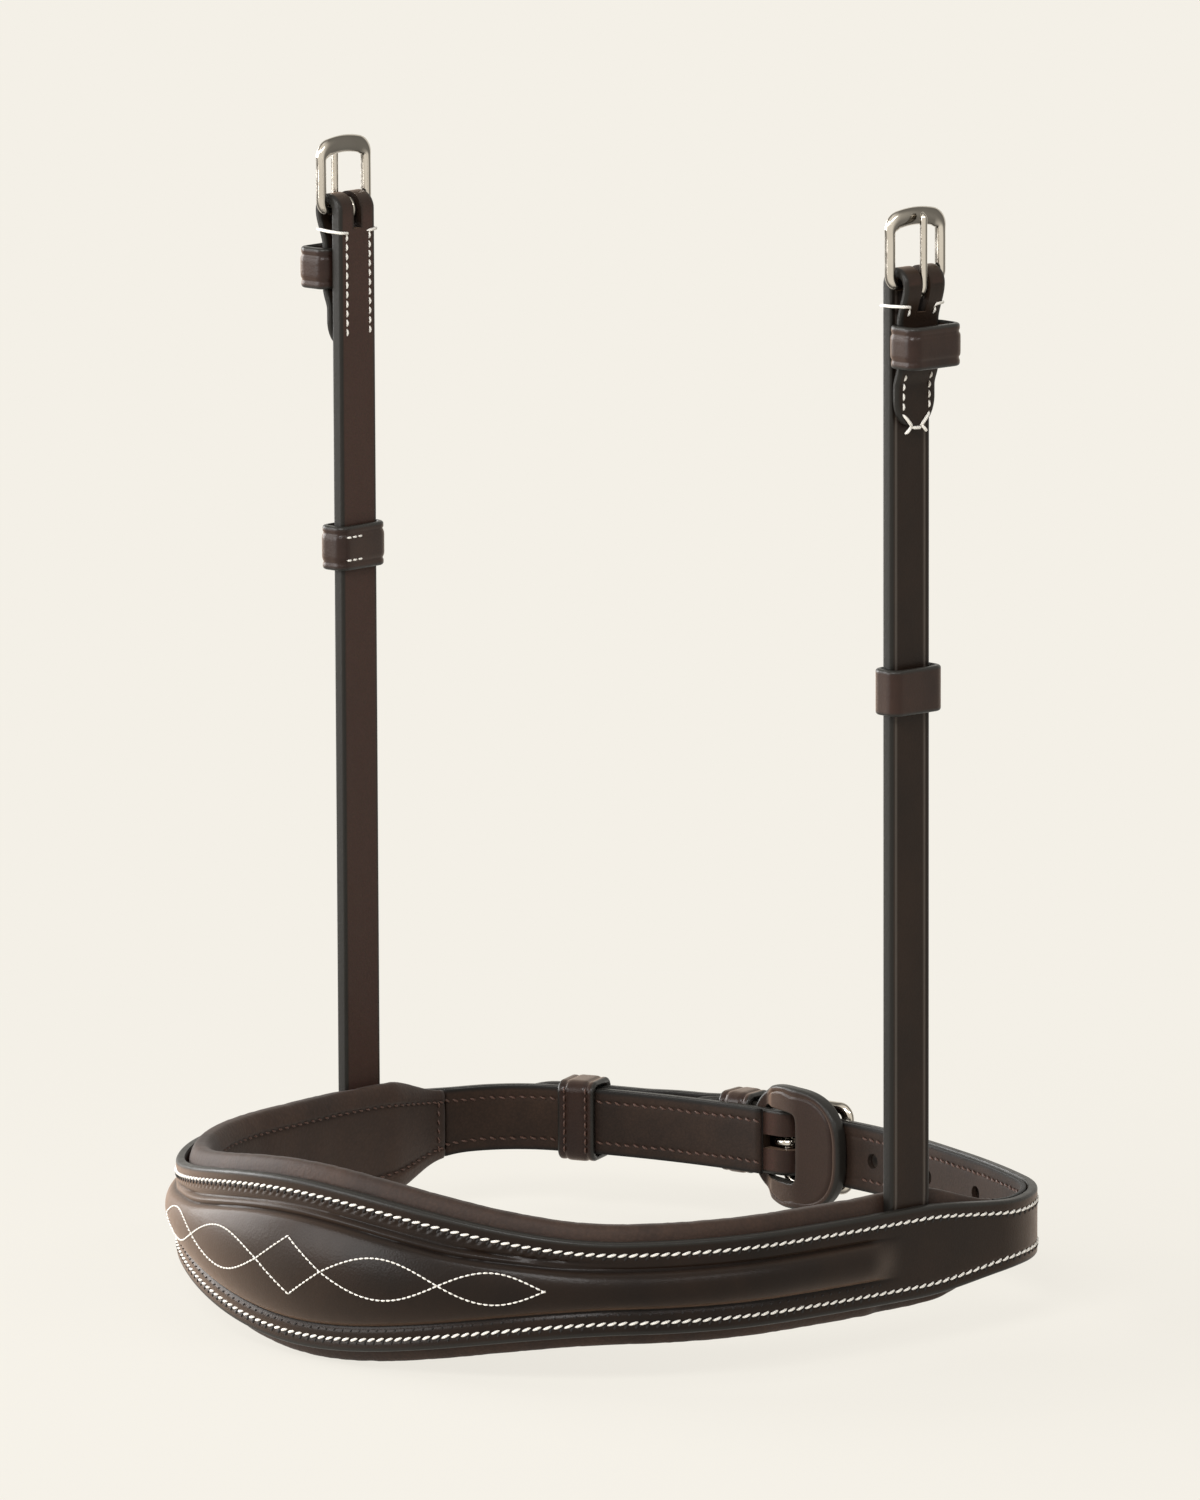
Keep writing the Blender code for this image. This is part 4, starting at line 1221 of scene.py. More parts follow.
@dataclass
class NoseLeather:
    """The one-piece outer leather: tab, turn, buckle strap, raised nose and billet."""

    finishes: Finishes
    profile: StripProfile = StripProfile(margin=0.0092, centre_rows=15)
    station: float = 0.0018
    tab_tip: float = 0.008
    groove_mm: float = 0.28
    foot_mm: float = 0.55
    foot_front_mm: float = 0.40
    line_mm: float = 0.42
    turn_slot: tuple[float, float, float] = (0.0119, 0.0120, 0.0034)

    def path(self) -> tuple[Array, Array, int, int]:
        """The middle line.

        Returns:
            (s, w, tab_count, fold_count) in order from the tab's end to the billet's point.
        """
        ease = 1 - np.cos(np.linspace(0, math.pi / 2, 8))
        tip = JAW.tab_end - self.tab_tip * ease
        tab_t = np.concatenate([tip, np.linspace(tip[-1], JAW.bar_t, 20)[1:]])
        turns = np.linspace(math.pi / 2, -math.pi / 2, 19)[1:]
        fold_s = JAW.bar_t - JAW.turn * np.cos(turns) - PLAN.half
        fold_w = JAW.bar_w + JAW.turn * np.sin(turns)
        start, end = JAW.bar_t + 0.0018 - PLAN.half, PLAN.half + JAW.rise_from
        nose = np.arange(start, end - 0.001, self.station)
        billet = np.stack(billet_line(), -1)
        billet = billet + Path(billet).out * (LEATHER / 2 - JAW.stack / 2)
        s = np.concatenate([tab_t - PLAN.half, fold_s, nose, billet[:, 0]])
        level = np.full(len(nose), -LEATHER / 2)
        w = np.concatenate([JAW.tab(tab_t), fold_w, level, billet[:, 1]])
        return s, w, len(tab_t), len(turns)

    def relief(self, s: Array, z: Array) -> tuple[Array, Array]:
        """Height of the grain face over a flat strap, and the painted shade of its creases.

        The height is the core's lift less a stitch groove, and less two creases with
        a soft ridge between them above the raise and one below it.

        Args:
            s: Ways along the loop.
            z: Heights (stations, rows).

        Returns:
            (height, crease), both of z's shape; crease is the share of painted shade, 0 to 1.
        """
        way = np.abs(s)[:, None]
        deep = BAND.half(s)[:, None] - np.abs(z)
        on_nose = BAND.on_nose(way)
        front = 1 - smoothstep(way, 0.062, 0.090)
        top = z > 0
        # Millimetres in from the top edge to the foot of the raise, by the way round
        knots = [(0, 8.2), (0.040, 8.5), (0.063, 7.2), (0.085, 6.6), (0.160, 6.3)]
        foot_at = np.where(top, through(knots, way) * MM, 5.9 * MM)
        foot = bump(deep, foot_at, 0.62 * MM) * on_nose
        line = bump(deep, foot_at - 1.9 * MM, 0.36 * MM) * front * top
        line = line * smoothstep(way, 0.004, 0.02)
        groove = bump(deep, BAND.stitch_in, 0.55 * MM)
        lift = BAND.lift(s[:, None], z) * (way < BAND.raise_end)
        foot_depth = self.foot_mm + self.foot_front_mm * front * top
        sunk = self.groove_mm * groove + foot_depth * foot + self.line_mm * line
        # Painted shade in the stitch groove, at the foot of the raise and along the line above it
        mark = 0.45 * groove + 0.75 * bump(deep, foot_at, 0.42 * MM) * on_nose + 0.6 * line
        return lift - sunk * MM, np.clip(mark, 0, 1)

    def build(self) -> None:
        """Makes the leather, punches its slot and holes, and sews it."""
        s, w, tab_count, fold_count = self.path()
        count = np.arange(len(s))
        half = BAND.pointed(s)
        half = np.where(count < tab_count, half * tip_share(s[0] - s, self.tab_tip), half)
        z, d, fall = self.profile.rows(half)
        thick = np.full(len(s), LEATHER)
        thick[:tab_count] = JAW.tab_thick
        turned = tab_count + fold_count
        thick[tab_count:turned] = np.linspace(JAW.tab_thick, LEATHER, fold_count)
        line = Path.round_the_band(s, w)
        plain = count < turned
        relief, crease = (np.where(plain[:, None], 0.0, part) for part in self.relief(s, z))
        top = line.surface(thick[:, None] / 2 - fall + relief, z)
        bottom = line.surface(-thick[:, None] / 2 + np.minimum(fall, 0.35 * MM), z)
        edge = 1 - smoothstep(np.minimum(d, 1.0), 0.5 * MM, 1.3 * MM)
        flesh = np.where(plain, 0.35, 0.8)[:, None]
        run = np.broadcast_to(s[:, None], z.shape)
        rim = BAND.half(s)[:, None] - z
        pull = np.where(plain, 0.0, 1 - smoothstep(np.abs(s), 0.050, 0.090))[:, None]
        # The crease mark carries painted shade on the grain face
        piece = shell_piece(
            "raised_nose_leather", top, bottom, self.finishes.leather,
            marks={"edge": (edge, edge), "flesh": (0.0 * edge, flesh * (1 - edge)),
                   "crease": (crease, 0.0 * edge), "run": (run, run), "rim": (rim, rim),
                   "pull": (pull, 0.0 * pull)},
        )
        # The tongue's slot in the turn comes after the billet's holes
        turn = PLAN.frame(PLAN.half + JAW.bar_t - 0.0015, 0.0, 0.0)
        cut_away(piece, [*billet_holes(), (turn, self.turn_slot, 0)])
        settle(piece, "band", ("nose_leather", "nose_filler"))
        self.sew(s[turned + 3 : -1], w[turned + 3 : -1])

    def sew(self, s: Array, w: Array) -> None:
        """White rows along both edges, dark threads beside them as painted shade in the awl holes,
        and the fancy rows.

        Args:
            s: Ways from the turn to near the point.
            w: The leather's middle there.
        """
        line = Path.round_the_band(s, w)
        height = np.maximum(BAND.pointed(s) - BAND.stitch_in, 0.0)
        out = flat(line.out)
        row = ThreadRow(STITCH_PITCH, length=2.45 * MM, radius=0.34 * MM, slant=17)
        # The dark threads are painted shade in the awl holes under each stitch
        awl = ThreadRow(STITCH_PITCH, length=1.5 * MM, radius=0.30 * MM, slant=62, sink=0.9)
        hole = ThreadRow(STITCH_PITCH, length=0.9 * MM, radius=0.22 * MM, slant=35, sink=0.8)
        face = LEATHER / 2
        rows, marks = [], []
        for level in (height, -height):
            rows.append(row.stitches(line.row(face - 0.20 * MM, level), out))
            under = line.row(face - 0.05 * MM, level - 0.75 * MM)
            marks.append(awl.stitches(under, out, 1.0))
        # The seam that holds the core shows as pricks above the lower row, dark as painted shade in
        # their holes
        raised = np.abs(s) < BAND.raise_end - 0.004
        above = line.row(face - 0.04 * MM, 2.1 * MM - height)
        marks.append(hole.stitches(above[raised], out[raised]))
        thread_piece("white_edge_stitches", rows, self.finishes.white)
        thread_piece("awl_hole_shade", marks, self.finishes.dark)
        thread_piece("fancy_stitches", FancyPattern().stitches(), self.finishes.white)


@dataclass(frozen=True)
class FancyPattern:
    """Two crossing rows of thread on the raised nose: a diamond between pairs of lobes."""

    crossings: tuple[float, float] = (0.0105, 0.0415)
    end: float = 0.0665
    diamond: float = 0.0069
    lobes: tuple[float, float] = (0.0049, 0.00375)

    def line(self, sign: int) -> tuple[Array, Array]:
        """One of the two rows in band places.

        The diamond's sides are straight; each lobe is half a sine between crossings, and
        the row changes side at every crossing.

        Args:
            sign: 1 for the row that makes the diamond's upper tip, -1 for the other.

        Returns:
            (s, z).
        """
        s = np.linspace(-self.end, self.end, 1201)
        way = np.abs(s)
        first, second = self.crossings
        tip = self.diamond * (1 - way / first)
        one = -self.lobes[0] * np.sin(math.pi * (way - first) / (second - first))
        two = self.lobes[1] * np.sin(math.pi * (way - second) / (self.end - second))
        z = np.where(way < first, tip, np.where(way < second, one, two))
        return s, sign * z

    def stitches(self) -> list[Array]:
        """Rings of the stitches of both rows, laid on the raised leather.

        Returns:
            Two arrays of rings, one for each row.
        """
        row = ThreadRow(pitch=1.45 * MM, length=1.30 * MM, radius=0.22 * MM, sink=0.15, arch=0.5)
        made = []
        for sign in (1, -1):
            s, z = self.line(sign)
            slope = (BAND.lift(s, z + 1e-4) - BAND.lift(s, z - 1e-4)) / 2e-4
            normal = np.column_stack([PLAN.at(s)[1], -slope])
            made.append(row.stitches(PLAN.place(s, BAND.lift(s, z), z), unit(normal)))
        return made


@dataclass
class StrapBacking:
    """The thin leather sewn behind billet and buckle strap."""

    finishes: Finishes
    profile: StripProfile = StripProfile(margin=0.0042, rounding=0.0004, centre_rows=5)
    station: float = 0.0018
    groove_mm: float = 0.12

    def strip(self, node: str, s: Array, w: Array, half: Array) -> Object:
        """A lining strip whose middle runs at (s, w), named after the node it replaces.

        Args:
            node: The node.
            s: Ways along the loop.
            w: Distances outwards.
            half: Half heights.

        Returns:
            The object.
        """
        line = Path.round_the_band(s, w)
        z, d, fall = self.profile.rows(half)
        groove = self.groove_mm * MM * bump(d, BAND.stitch_in, 0.45 * MM)
        top = line.surface(LINING / 2 - fall, z)
        bottom = line.surface(-LINING / 2 + fall + groove, z)
        edge = 1 - smoothstep(d, 0.3 * MM, 0.9 * MM)
        name = node.replace("lining", "backing")
        piece = shell_piece(name, top, bottom, self.finishes.backing, marks={"edge": (edge, edge)})
        settle(piece, "band", (node,))
        return piece

    def sew(self, s: Array, w: Array, half: Array) -> list[Array]:
        """Brown rows on the inner face, a little uneven as the back of a seam is.

        Args:
            s: Ways along the loop.
            w: Distances outwards.
            half: Half heights.

        Returns:
            Two arrays of rings, one for each edge.
        """
        line = Path.round_the_band(s, w)
        row = ThreadRow(STITCH_PITCH, length=1.9 * MM, radius=0.30 * MM, slant=-20, sink=0.5)
        wander = waves(s, 0.006, 5) * 0.25 * MM
        return [
            row.stitches(line.row(-LINING / 2, level + wander), -flat(line.out))
            for level in (half - BAND.stitch_in, BAND.stitch_in - half)
        ]

    def build(self) -> None:
        """Makes both linings with their holes and rows."""
        near = np.arange(PAD_END + GAP, PLAN.half + JAW.rise_from - 0.0005, self.station)
        rise_s, rise_w = billet_line()
        level = np.full(len(near), -JAW.stack / 2)
        line = np.stack([np.concatenate([near, rise_s]), np.concatenate([level, rise_w])], -1)
        s, w = (line + Path(line).out * (JAW.stack / 2 - LINING / 2)).T
        half = BAND.pointed(s)
        billet = self.strip("billet_lining", s, w, half)
        cut_away(billet, billet_holes())
        far = np.arange(JAW.bar_t + JAW.lining_from - PLAN.half, -PAD_END - GAP, self.station)
        level = np.full(len(far), LINING / 2 - JAW.stack)
        self.strip("buckle_strap_lining", far, level, BAND.half(far))
        # The rows stop short of the guard, which slides against the billet
        bare = s < PLAN.half + JAW.guard_from - 0.0028
        rows = self.sew(s[bare], w[bare], half[bare]) + self.sew(far, level, BAND.half(far))
        thread_piece("backing_stitches", rows, self.finishes.brown)


@dataclass
class Pad:
    """The lining turned round foam behind the nose and cheeks, proud of the leather."""

    finishes: Finishes
    taper: float = 0.022
    thick: float = 0.0070
    end_thick: float = 0.0027
    rim: float = 0.0032
    square: float = 3.2
    panel_mm: float = 0.75
    groove_mm: float = 0.45
    tuck_mm: float = 0.16
    sag_mm: float = 0.12
    stations: int = 301

    def build(self) -> None:
        """Makes the padded lining and its seams.

        Each section is a superellipse. On the horse's side a seam groove sets a rolled
        rim off from a flatter panel, and small tucks draw in both rims.
        """
        s = np.linspace(-PAD_END, PAD_END, self.stations)
        fade = 1 - smoothstep(np.abs(s), PAD_END - self.taper, PAD_END)
        thick = self.end_thick + (self.thick - self.end_thick) * fade
        high = (BAND.half(s) + self.rim * fade)[:, None]
        away = np.abs(np.abs(s) - HANGER_AT)
        dip = (TAIL_THICK + GAP) * (1 - smoothstep(away, HANGER_HALF, 2 * HANGER_HALF))
        outer, inner = -LEATHER - GAP - dip, -LEATHER - GAP - thick
        cw, cz = superellipse(circle(144), self.square)
        w = ((outer + inner) / 2)[:, None] + ((outer - inner) / 2)[:, None] * cw
        z = high * cz
        tuck = waves(s, 0.011, 3)[:, None] * self.tuck_mm * MM
        tuck = tuck * bump(np.abs(cz), 1.0, 0.35) * fade[:, None]
        within = np.abs(z) - self.seam(s)[:, None]
        facing = np.clip(-cw * 1.6, 0, 1)
        panel = 1 - smoothstep(within, -0.5 * MM, 0.9 * MM)
        groove = self.groove_mm * MM * bump(within, 0.0, 0.55 * MM)
        sag = waves(s * 1.3 + 0.2, 0.03, 8)[:, None] * self.sag_mm * MM
        ends = 0.35 + 0.65 * fade
        w = w + facing * (self.panel_mm * MM * panel + groove + sag) * ends[:, None]
        z = z * (1 - np.abs(tuck) / high)
        # On the pad the edge mark is painted shade in the seam groove, and makes the flat panel a
        # little darker
        edge = facing * np.maximum(0.8 * bump(within, 0.0, 0.4 * MM), 0.35 * panel)
        rings = PLAN.place(s[:, None], w, z)
        piece = mesh_piece("pad_cover", rings, self.finishes.lining, marks={"edge": edge})
        settle(piece, "band", ("pad_lining", "pad_foam"))
        self.end_seams()
        self.face_seams(s, inner + 0.72 * MM * ends)

    def seam(self, s: Array) -> Array:
        """Height of the seam that holds the lining's rolled rim; it meets the straps' rows."""
        along = 1 - smoothstep(np.abs(s), PAD_END - 2 * self.taper, PAD_END)
        return BAND.half(s) - BAND.stitch_in + 1.1 * MM * along

    def face_seams(self, s: Array, w: Array) -> None:
        """The two rows on the horse's side, pulled into the pad, at places (s, w).

        Args:
            s: Ways along the loop.
            w: Distances of the pad's inner face.
        """
        row = ThreadRow(STITCH_PITCH, length=1.5 * MM, radius=0.26 * MM, slant=-14, sink=0.45)
        inwards = -flat(PLAN.at(s)[1])
        lines = [PLAN.place(s, w, level) for level in (self.seam(s), -self.seam(s))]
        made = [row.stitches(line, inwards) for line in lines]
        thread_piece("pad_face_stitches", made, self.finishes.brown)

    def end_seams(self) -> None:
        """Short upright rows where each end of the pad is sewn down."""
        row = ThreadRow(pitch=2.2 * MM, length=1.6 * MM, radius=0.28 * MM, slant=12, sink=0.4)
        z = np.linspace(-0.0068, 0.0068, 9)
        level = np.full(len(z), -LEATHER - GAP - self.end_thick - 0.0001)
        made = []
        for sign in (1, -1):
            s = np.full(len(z), sign * (PAD_END - 0.0026))
            made.append(row.stitches(PLAN.place(s, level, z), -flat(PLAN.at(s)[1])))
        thread_piece("pad_end_stitches", made, self.finishes.brown)


def rounded_box(x0: float, x1: float, half: float, radius: float) -> Array:
    """A rounded rectangle of 12 points a corner and 8 a side, anticlockwise.

    Args:
        x0: Low X.
        x1: High X.
        half: Half the size in Y.
        radius: Radius of the corners.

    Returns:
        Points, (80, 2).
    """
    turn = np.linspace(0, math.pi / 2, 12)
    corner = np.stack([np.cos(turn), np.sin(turn)], -1) * radius
    quarter = np.array([[0, -1], [1, 0]])
    spots = [(x1, half, -1, -1), (x0, half, 1, -1), (x0, -half, 1, 1), (x1, -half, -1, 1)]
    arcs = []
    for number, (x, y, dx, dy) in enumerate(spots):
        spin = np.linalg.matrix_power(quarter, number)
        arcs.append(np.array((x, y)) + np.array((dx, dy)) * radius + corner @ spin.T)
    made = []
    for arc, after in zip(arcs, arcs[1:] + arcs[:1]):
        side = arc[-1] + (after[0] - arc[-1]) * np.linspace(0, 1, 10)[1:-1, None]
        made += [arc, side]
    return np.concatenate(made)


@dataclass
class LeatherLoop:
    """A keeper or runner: a leather band round a rounded opening, as its node has it.

    In the matrix's frame the opening runs along Z; hole is (low X, high X, half of Y)
    and walls are the thicknesses of the low, the high and the two side walls.
    """

    node: str
    body: str
    matrix: Matrix
    hole: tuple[float, float, float]
    walls: tuple[float, float, float]
    width: float
    finishes: Finishes
    creased: bool = True
    corner: float = 0.0013
    rounding: float = 0.7 * MM
    crease_in: float = 1.9 * MM
    crease_mm: float = 0.30
    puff: float = 0.18 * MM

    def build(self) -> None:
        """Makes the band of leather with rounded edges and two creases."""
        x0, x1, half = self.hole
        low, high, side = self.walls
        hole = rounded_box(x0, x1, half, self.corner)
        out = rounded_box(x0 - low, x1 + high, half + side, self.corner + side) - hole
        level = np.sin(np.linspace(-1, 1, 31) * math.pi / 2) * self.width / 2
        d = self.width / 2 - np.abs(level)
        fall = round_off(d, self.rounding)[None]
        crease = self.crease_mm * MM * bump(d, self.crease_in, 0.28 * MM)[None] * self.creased
        puff = self.puff * smoothstep(d, self.crease_in, 3.2 * MM)[None] * self.creased
        top = np.linalg.norm(out, axis=1)[:, None] - fall - crease + puff - self.puff
        bottom = np.broadcast_to(np.minimum(fall, 0.3 * MM), top.shape)
        rows = np.broadcast_to(level, top.shape)[..., None]
        faces = []
        for height in (top, bottom):
            face = hole[:, None] + unit(out)[:, None] * height[..., None]
            faces.append(carried(self.matrix, np.concatenate([face, rows], -1)))
        edge = 1 - smoothstep(d, 0.4 * MM, 1.0 * MM)[None]
        piece = shell_piece(
            f"{self.node}_loop", *faces, self.finishes.loops, looped=True,
            marks={"edge": (edge, edge), "flesh": (0 * edge, 0.6 * (1 - edge))},
        )
        settle(piece, self.body, (self.node,))

    def seam(
        self, thread: Material, start: float, end: float, inset: float, pitch: float
    ) -> None:
        """Two short rows on the low wall, where the loop's ends are sewn.

        Args:
            thread: The thread's material.
            start: First place along the loop's Y.
            end: Last place.
            inset: Distance of each row from the loop's edges.
            pitch: From stitch to stitch.
        """
        row = ThreadRow(pitch=pitch, length=pitch * 0.8, radius=0.27 * MM, sink=0.25)
        y = np.linspace(start, end, 12)
        x = np.full(len(y), self.hole[0] - self.walls[0] + 0.1 * MM)
        made = []
        for sign in (1, -1):
            line = np.stack([x, y, np.full(len(y), sign * (self.width / 2 - inset))], -1)
            normal = carried(self.matrix, np.broadcast_to([-1.0, 0.0, 0.0], line.shape), 0)
            made.append(row.stitches(carried(self.matrix, line), normal))
        thread_piece(f"{self.node}_seams", made, thread, self.body)


@dataclass
class Buckle:
    """A cart-style buckle: a round heel bar, tapering sides and a swelled, bowed top."""

    name: str
    tongue_body: str
    matrix: Matrix
    length: float
    half: float
    radius: float
    tongue: float
    finishes: Finishes
    corner: float = 0.0026
    swell: float = 1.68
    bow: float = 0.0012

    def build(self) -> None:
        """Makes the frame and the tongue."""
        self.frame()
        self.tongue_wire()

    def wire(self, node: str, body: str, line: Array, sizes: Array, closed: bool) -> None:
        """Cast wire: an oval section carried along a line.

        Args:
            node: The node that it replaces.
            body: The body that it rides on.
            line: (n, 3) points in the buckle's frame, at one Z if closed, else at one Y.
            sizes: (2, n) half sizes of the section, in the line's plane and across it.
            closed: Whether the line joins itself.
        """
        if closed:
            along = unit(np.roll(line, -1, 0) - np.roll(line, 1, 0))
            across = np.array([0.0, 0.0, 1.0])
        else:
            along = unit(np.gradient(line, axis=0))
            across = np.array([0.0, 1.0, 0.0])
        side = unit(np.cross(along, across))
        turn = circle(20)[None]
        ring = (
            side[:, None] * (np.cos(turn) * sizes[0][:, None])[..., None]
            + across * (np.sin(turn) * sizes[1][:, None])[..., None]
        )
        points = carried(self.matrix, line[:, None] + ring)
        piece = mesh_piece(f"{node}_wire", points, self.finishes.nickel, looped=closed)
        settle(piece, body, (node,))

    def frame(self) -> None:
        """The frame as a closed wire whose top bar is flattened and bowed."""
        line = rounded_box(0.0, self.length, self.half, self.corner)
        top = smoothstep(line[:, 0], self.length * 0.62, self.length)
        bar = smoothstep(line[:, 0], self.length - 1.2 * self.corner, self.length)
        bowed = line[:, 0] + self.bow * top * (1 - (line[:, 1] / self.half) ** 2)
        wide = self.radius * (1 + (self.swell - 1) * bar)
        deep = self.radius * (1 - 0.08 * top)
        points = np.stack([bowed - (wide - self.radius) * 0.45 * bar, line[:, 1], 0 * bowed], -1)
        self.wire(f"{self.name}_frame", self.name, points, np.stack([wide, deep]), True)

    def tongue_wire(self) -> None:
        """The tongue: a loop round the heel bar, a straight shank, a tip bent over the top."""
        reach = self.radius * (1.35 if self.swell > 1.3 else 1.0) + GAP + self.tongue
        turn = np.radians(np.linspace(-25, -268, 34))
        loop = np.stack([reach * np.cos(turn), 0 * turn, reach * np.sin(turn)], -1)
        x = np.linspace(1.5 * self.tongue, self.length + 2 * self.tongue, 26)
        dip = smoothstep(x, self.length + 0.4 * self.tongue, self.length + 3 * self.tongue)
        shank = np.stack([x, 0 * x, reach - dip * self.tongue * 0.9], -1)
        line = np.concatenate([loop, shank])
        size = np.full(len(line), self.tongue)
        size[[0, 1, -1, -2]] *= (0.45, 0.85, 0.35, 0.75)
        sizes = np.stack([size * 0.92, size])
        self.wire(f"{self.name}_tongue", self.tongue_body, line, sizes, False)


@dataclass
class JawClosure:
    """Guard, buckle, keeper and runner under the jaw."""

    finishes: Finishes
    rounding: float = 0.95 * MM
    pressed_in: float = 2.25 * MM
    pressed_mm: float = 0.30
    rim_power: float = 2.6
    window_power: float = 9.0

    def guard(self) -> None:
        """The guard leaf.

        It is a sheet between two outlines: its window and its oval edge, joined by
        straight lines, and it follows the guard's bend along the strap.
        """
        turn = circle(180)

        def oval(start: float, end: float, high: float, power: float) -> Array:
            """A superellipse of that power in (t, z)."""
            x, y = superellipse(turn, power)
            return np.stack([(start + end) / 2 + x * ((end - start) / 2), y * high], -1)

        rim = oval(JAW.guard_from, JAW.guard_to, JAW.guard_half, self.rim_power)
        high = BAND.strap_half + JAW.window_play
        window = oval(JAW.window_from, JAW.window_to, high, self.window_power)
        quarter = self.rounding * (1 - np.cos(np.linspace(0, math.pi / 2, 7)))
        from_rim = np.concatenate([quarter, np.array([1.4, 1.8, 2.05, 2.25, 2.45, 2.8]) * MM])
        from_window = quarter[::-1] * 0.6
        width = np.linalg.norm(rim - window, axis=1)
        fit = np.minimum(1.0, width / 4.2e-3)[:, None]
        inner = np.linspace(0, 1, 12)[None, 1:-1]
        outer_part = from_rim[None] * fit
        window_part = width[:, None] - from_window[None] * fit
        centre = outer_part[:, -1:] + (window_part[:, :1] - outer_part[:, -1:]) * inner
        away = np.concatenate([outer_part, centre, window_part], 1)
        spots = rim[:, None] + (window - rim)[:, None] * (away / width[:, None])[..., None]
        nominal = np.concatenate([from_rim, np.full(inner.shape[1] + len(from_window), 1.0)])
        at_window = np.concatenate([np.full(len(from_rim) + inner.shape[1], 1.0), from_window])
        fall = round_off(np.minimum(nominal, at_window / 0.6), self.rounding)[None]
        line = bump(np.minimum(nominal, 0.1), self.pressed_in, 0.28 * MM)[None]
        crease = self.pressed_mm * MM * line * smoothstep(width, 4.6 * MM, 6.0 * MM)[:, None]
        t, z = spots[..., 0], spots[..., 1]
        share = 1 - (1 - JAW.bridge_share) * smoothstep(t, JAW.bar_t - 0.004, JAW.window_to)
        thick = JAW.guard_thick * share
        faces = [
            PLAN.place(
                PLAN.half + t,
                JAW.guard(t) + sign * (thick / 2 - np.minimum(fall, thick / 2.4) - crease), z,
            )
            for sign in (-1, 1)
        ]
        edge = 1 - smoothstep(np.minimum(nominal, at_window * 1.6), 0.5 * MM, 1.1 * MM)[None]
        piece = shell_piece(
            "guard_leaf", *faces, self.finishes.leather, looped=True,
            marks={"edge": (edge, edge), "flesh": (0.25 * (1 - edge), 0.5 * (1 - edge))},
        )
        settle(piece, "guard", ("buckle_guard",))

    def loops(self) -> None:
        """The fixed keeper and the sliding runner, with the runner's dark seams."""
        side = BAND.strap_half + JAW.side_play
        top = JAW.billet_in_keeper + JAW.ride_lift + JAW.stack / 2 + JAW.ride_play
        LeatherLoop(
            "jaw_keeper", "band", JAW.ring_frame(JAW.keeper_t), (GAP + JAW.keeper_seat, top, side),
            (JAW.keeper_seat, JAW.wall, JAW.wall), JAW.keeper_width, self.finishes,
        ).build()
        high = JAW.billet_low + JAW.stack / 2 + JAW.ride_play
        runner = LeatherLoop(
            "jaw_runner", "jaw_runner", JAW.ring_frame(JAW.runner_t),
            (-JAW.stack - JAW.ride_play, high, side), (JAW.wall, JAW.wall, JAW.wall),
            JAW.runner_width, self.finishes,
        )
        runner.build()
        runner.seam(self.finishes.brown, -side * 0.95, side * 0.95, 2.0 * MM, 2.1 * MM)

    def build(self) -> None:
        """Makes the guard, the loops, and the buckle on its turned bar."""
        self.guard()
        self.loops()
        matrix, length = JAW.buckle_frame()
        half = BAND.strap_half + JAW.window_play + JAW.wire
        Buckle(
            "jaw_buckle", "jaw_buckle", matrix, length, half, JAW.wire, 0.0010, self.finishes,
            swell=1.15, bow=0.0,
        ).build()


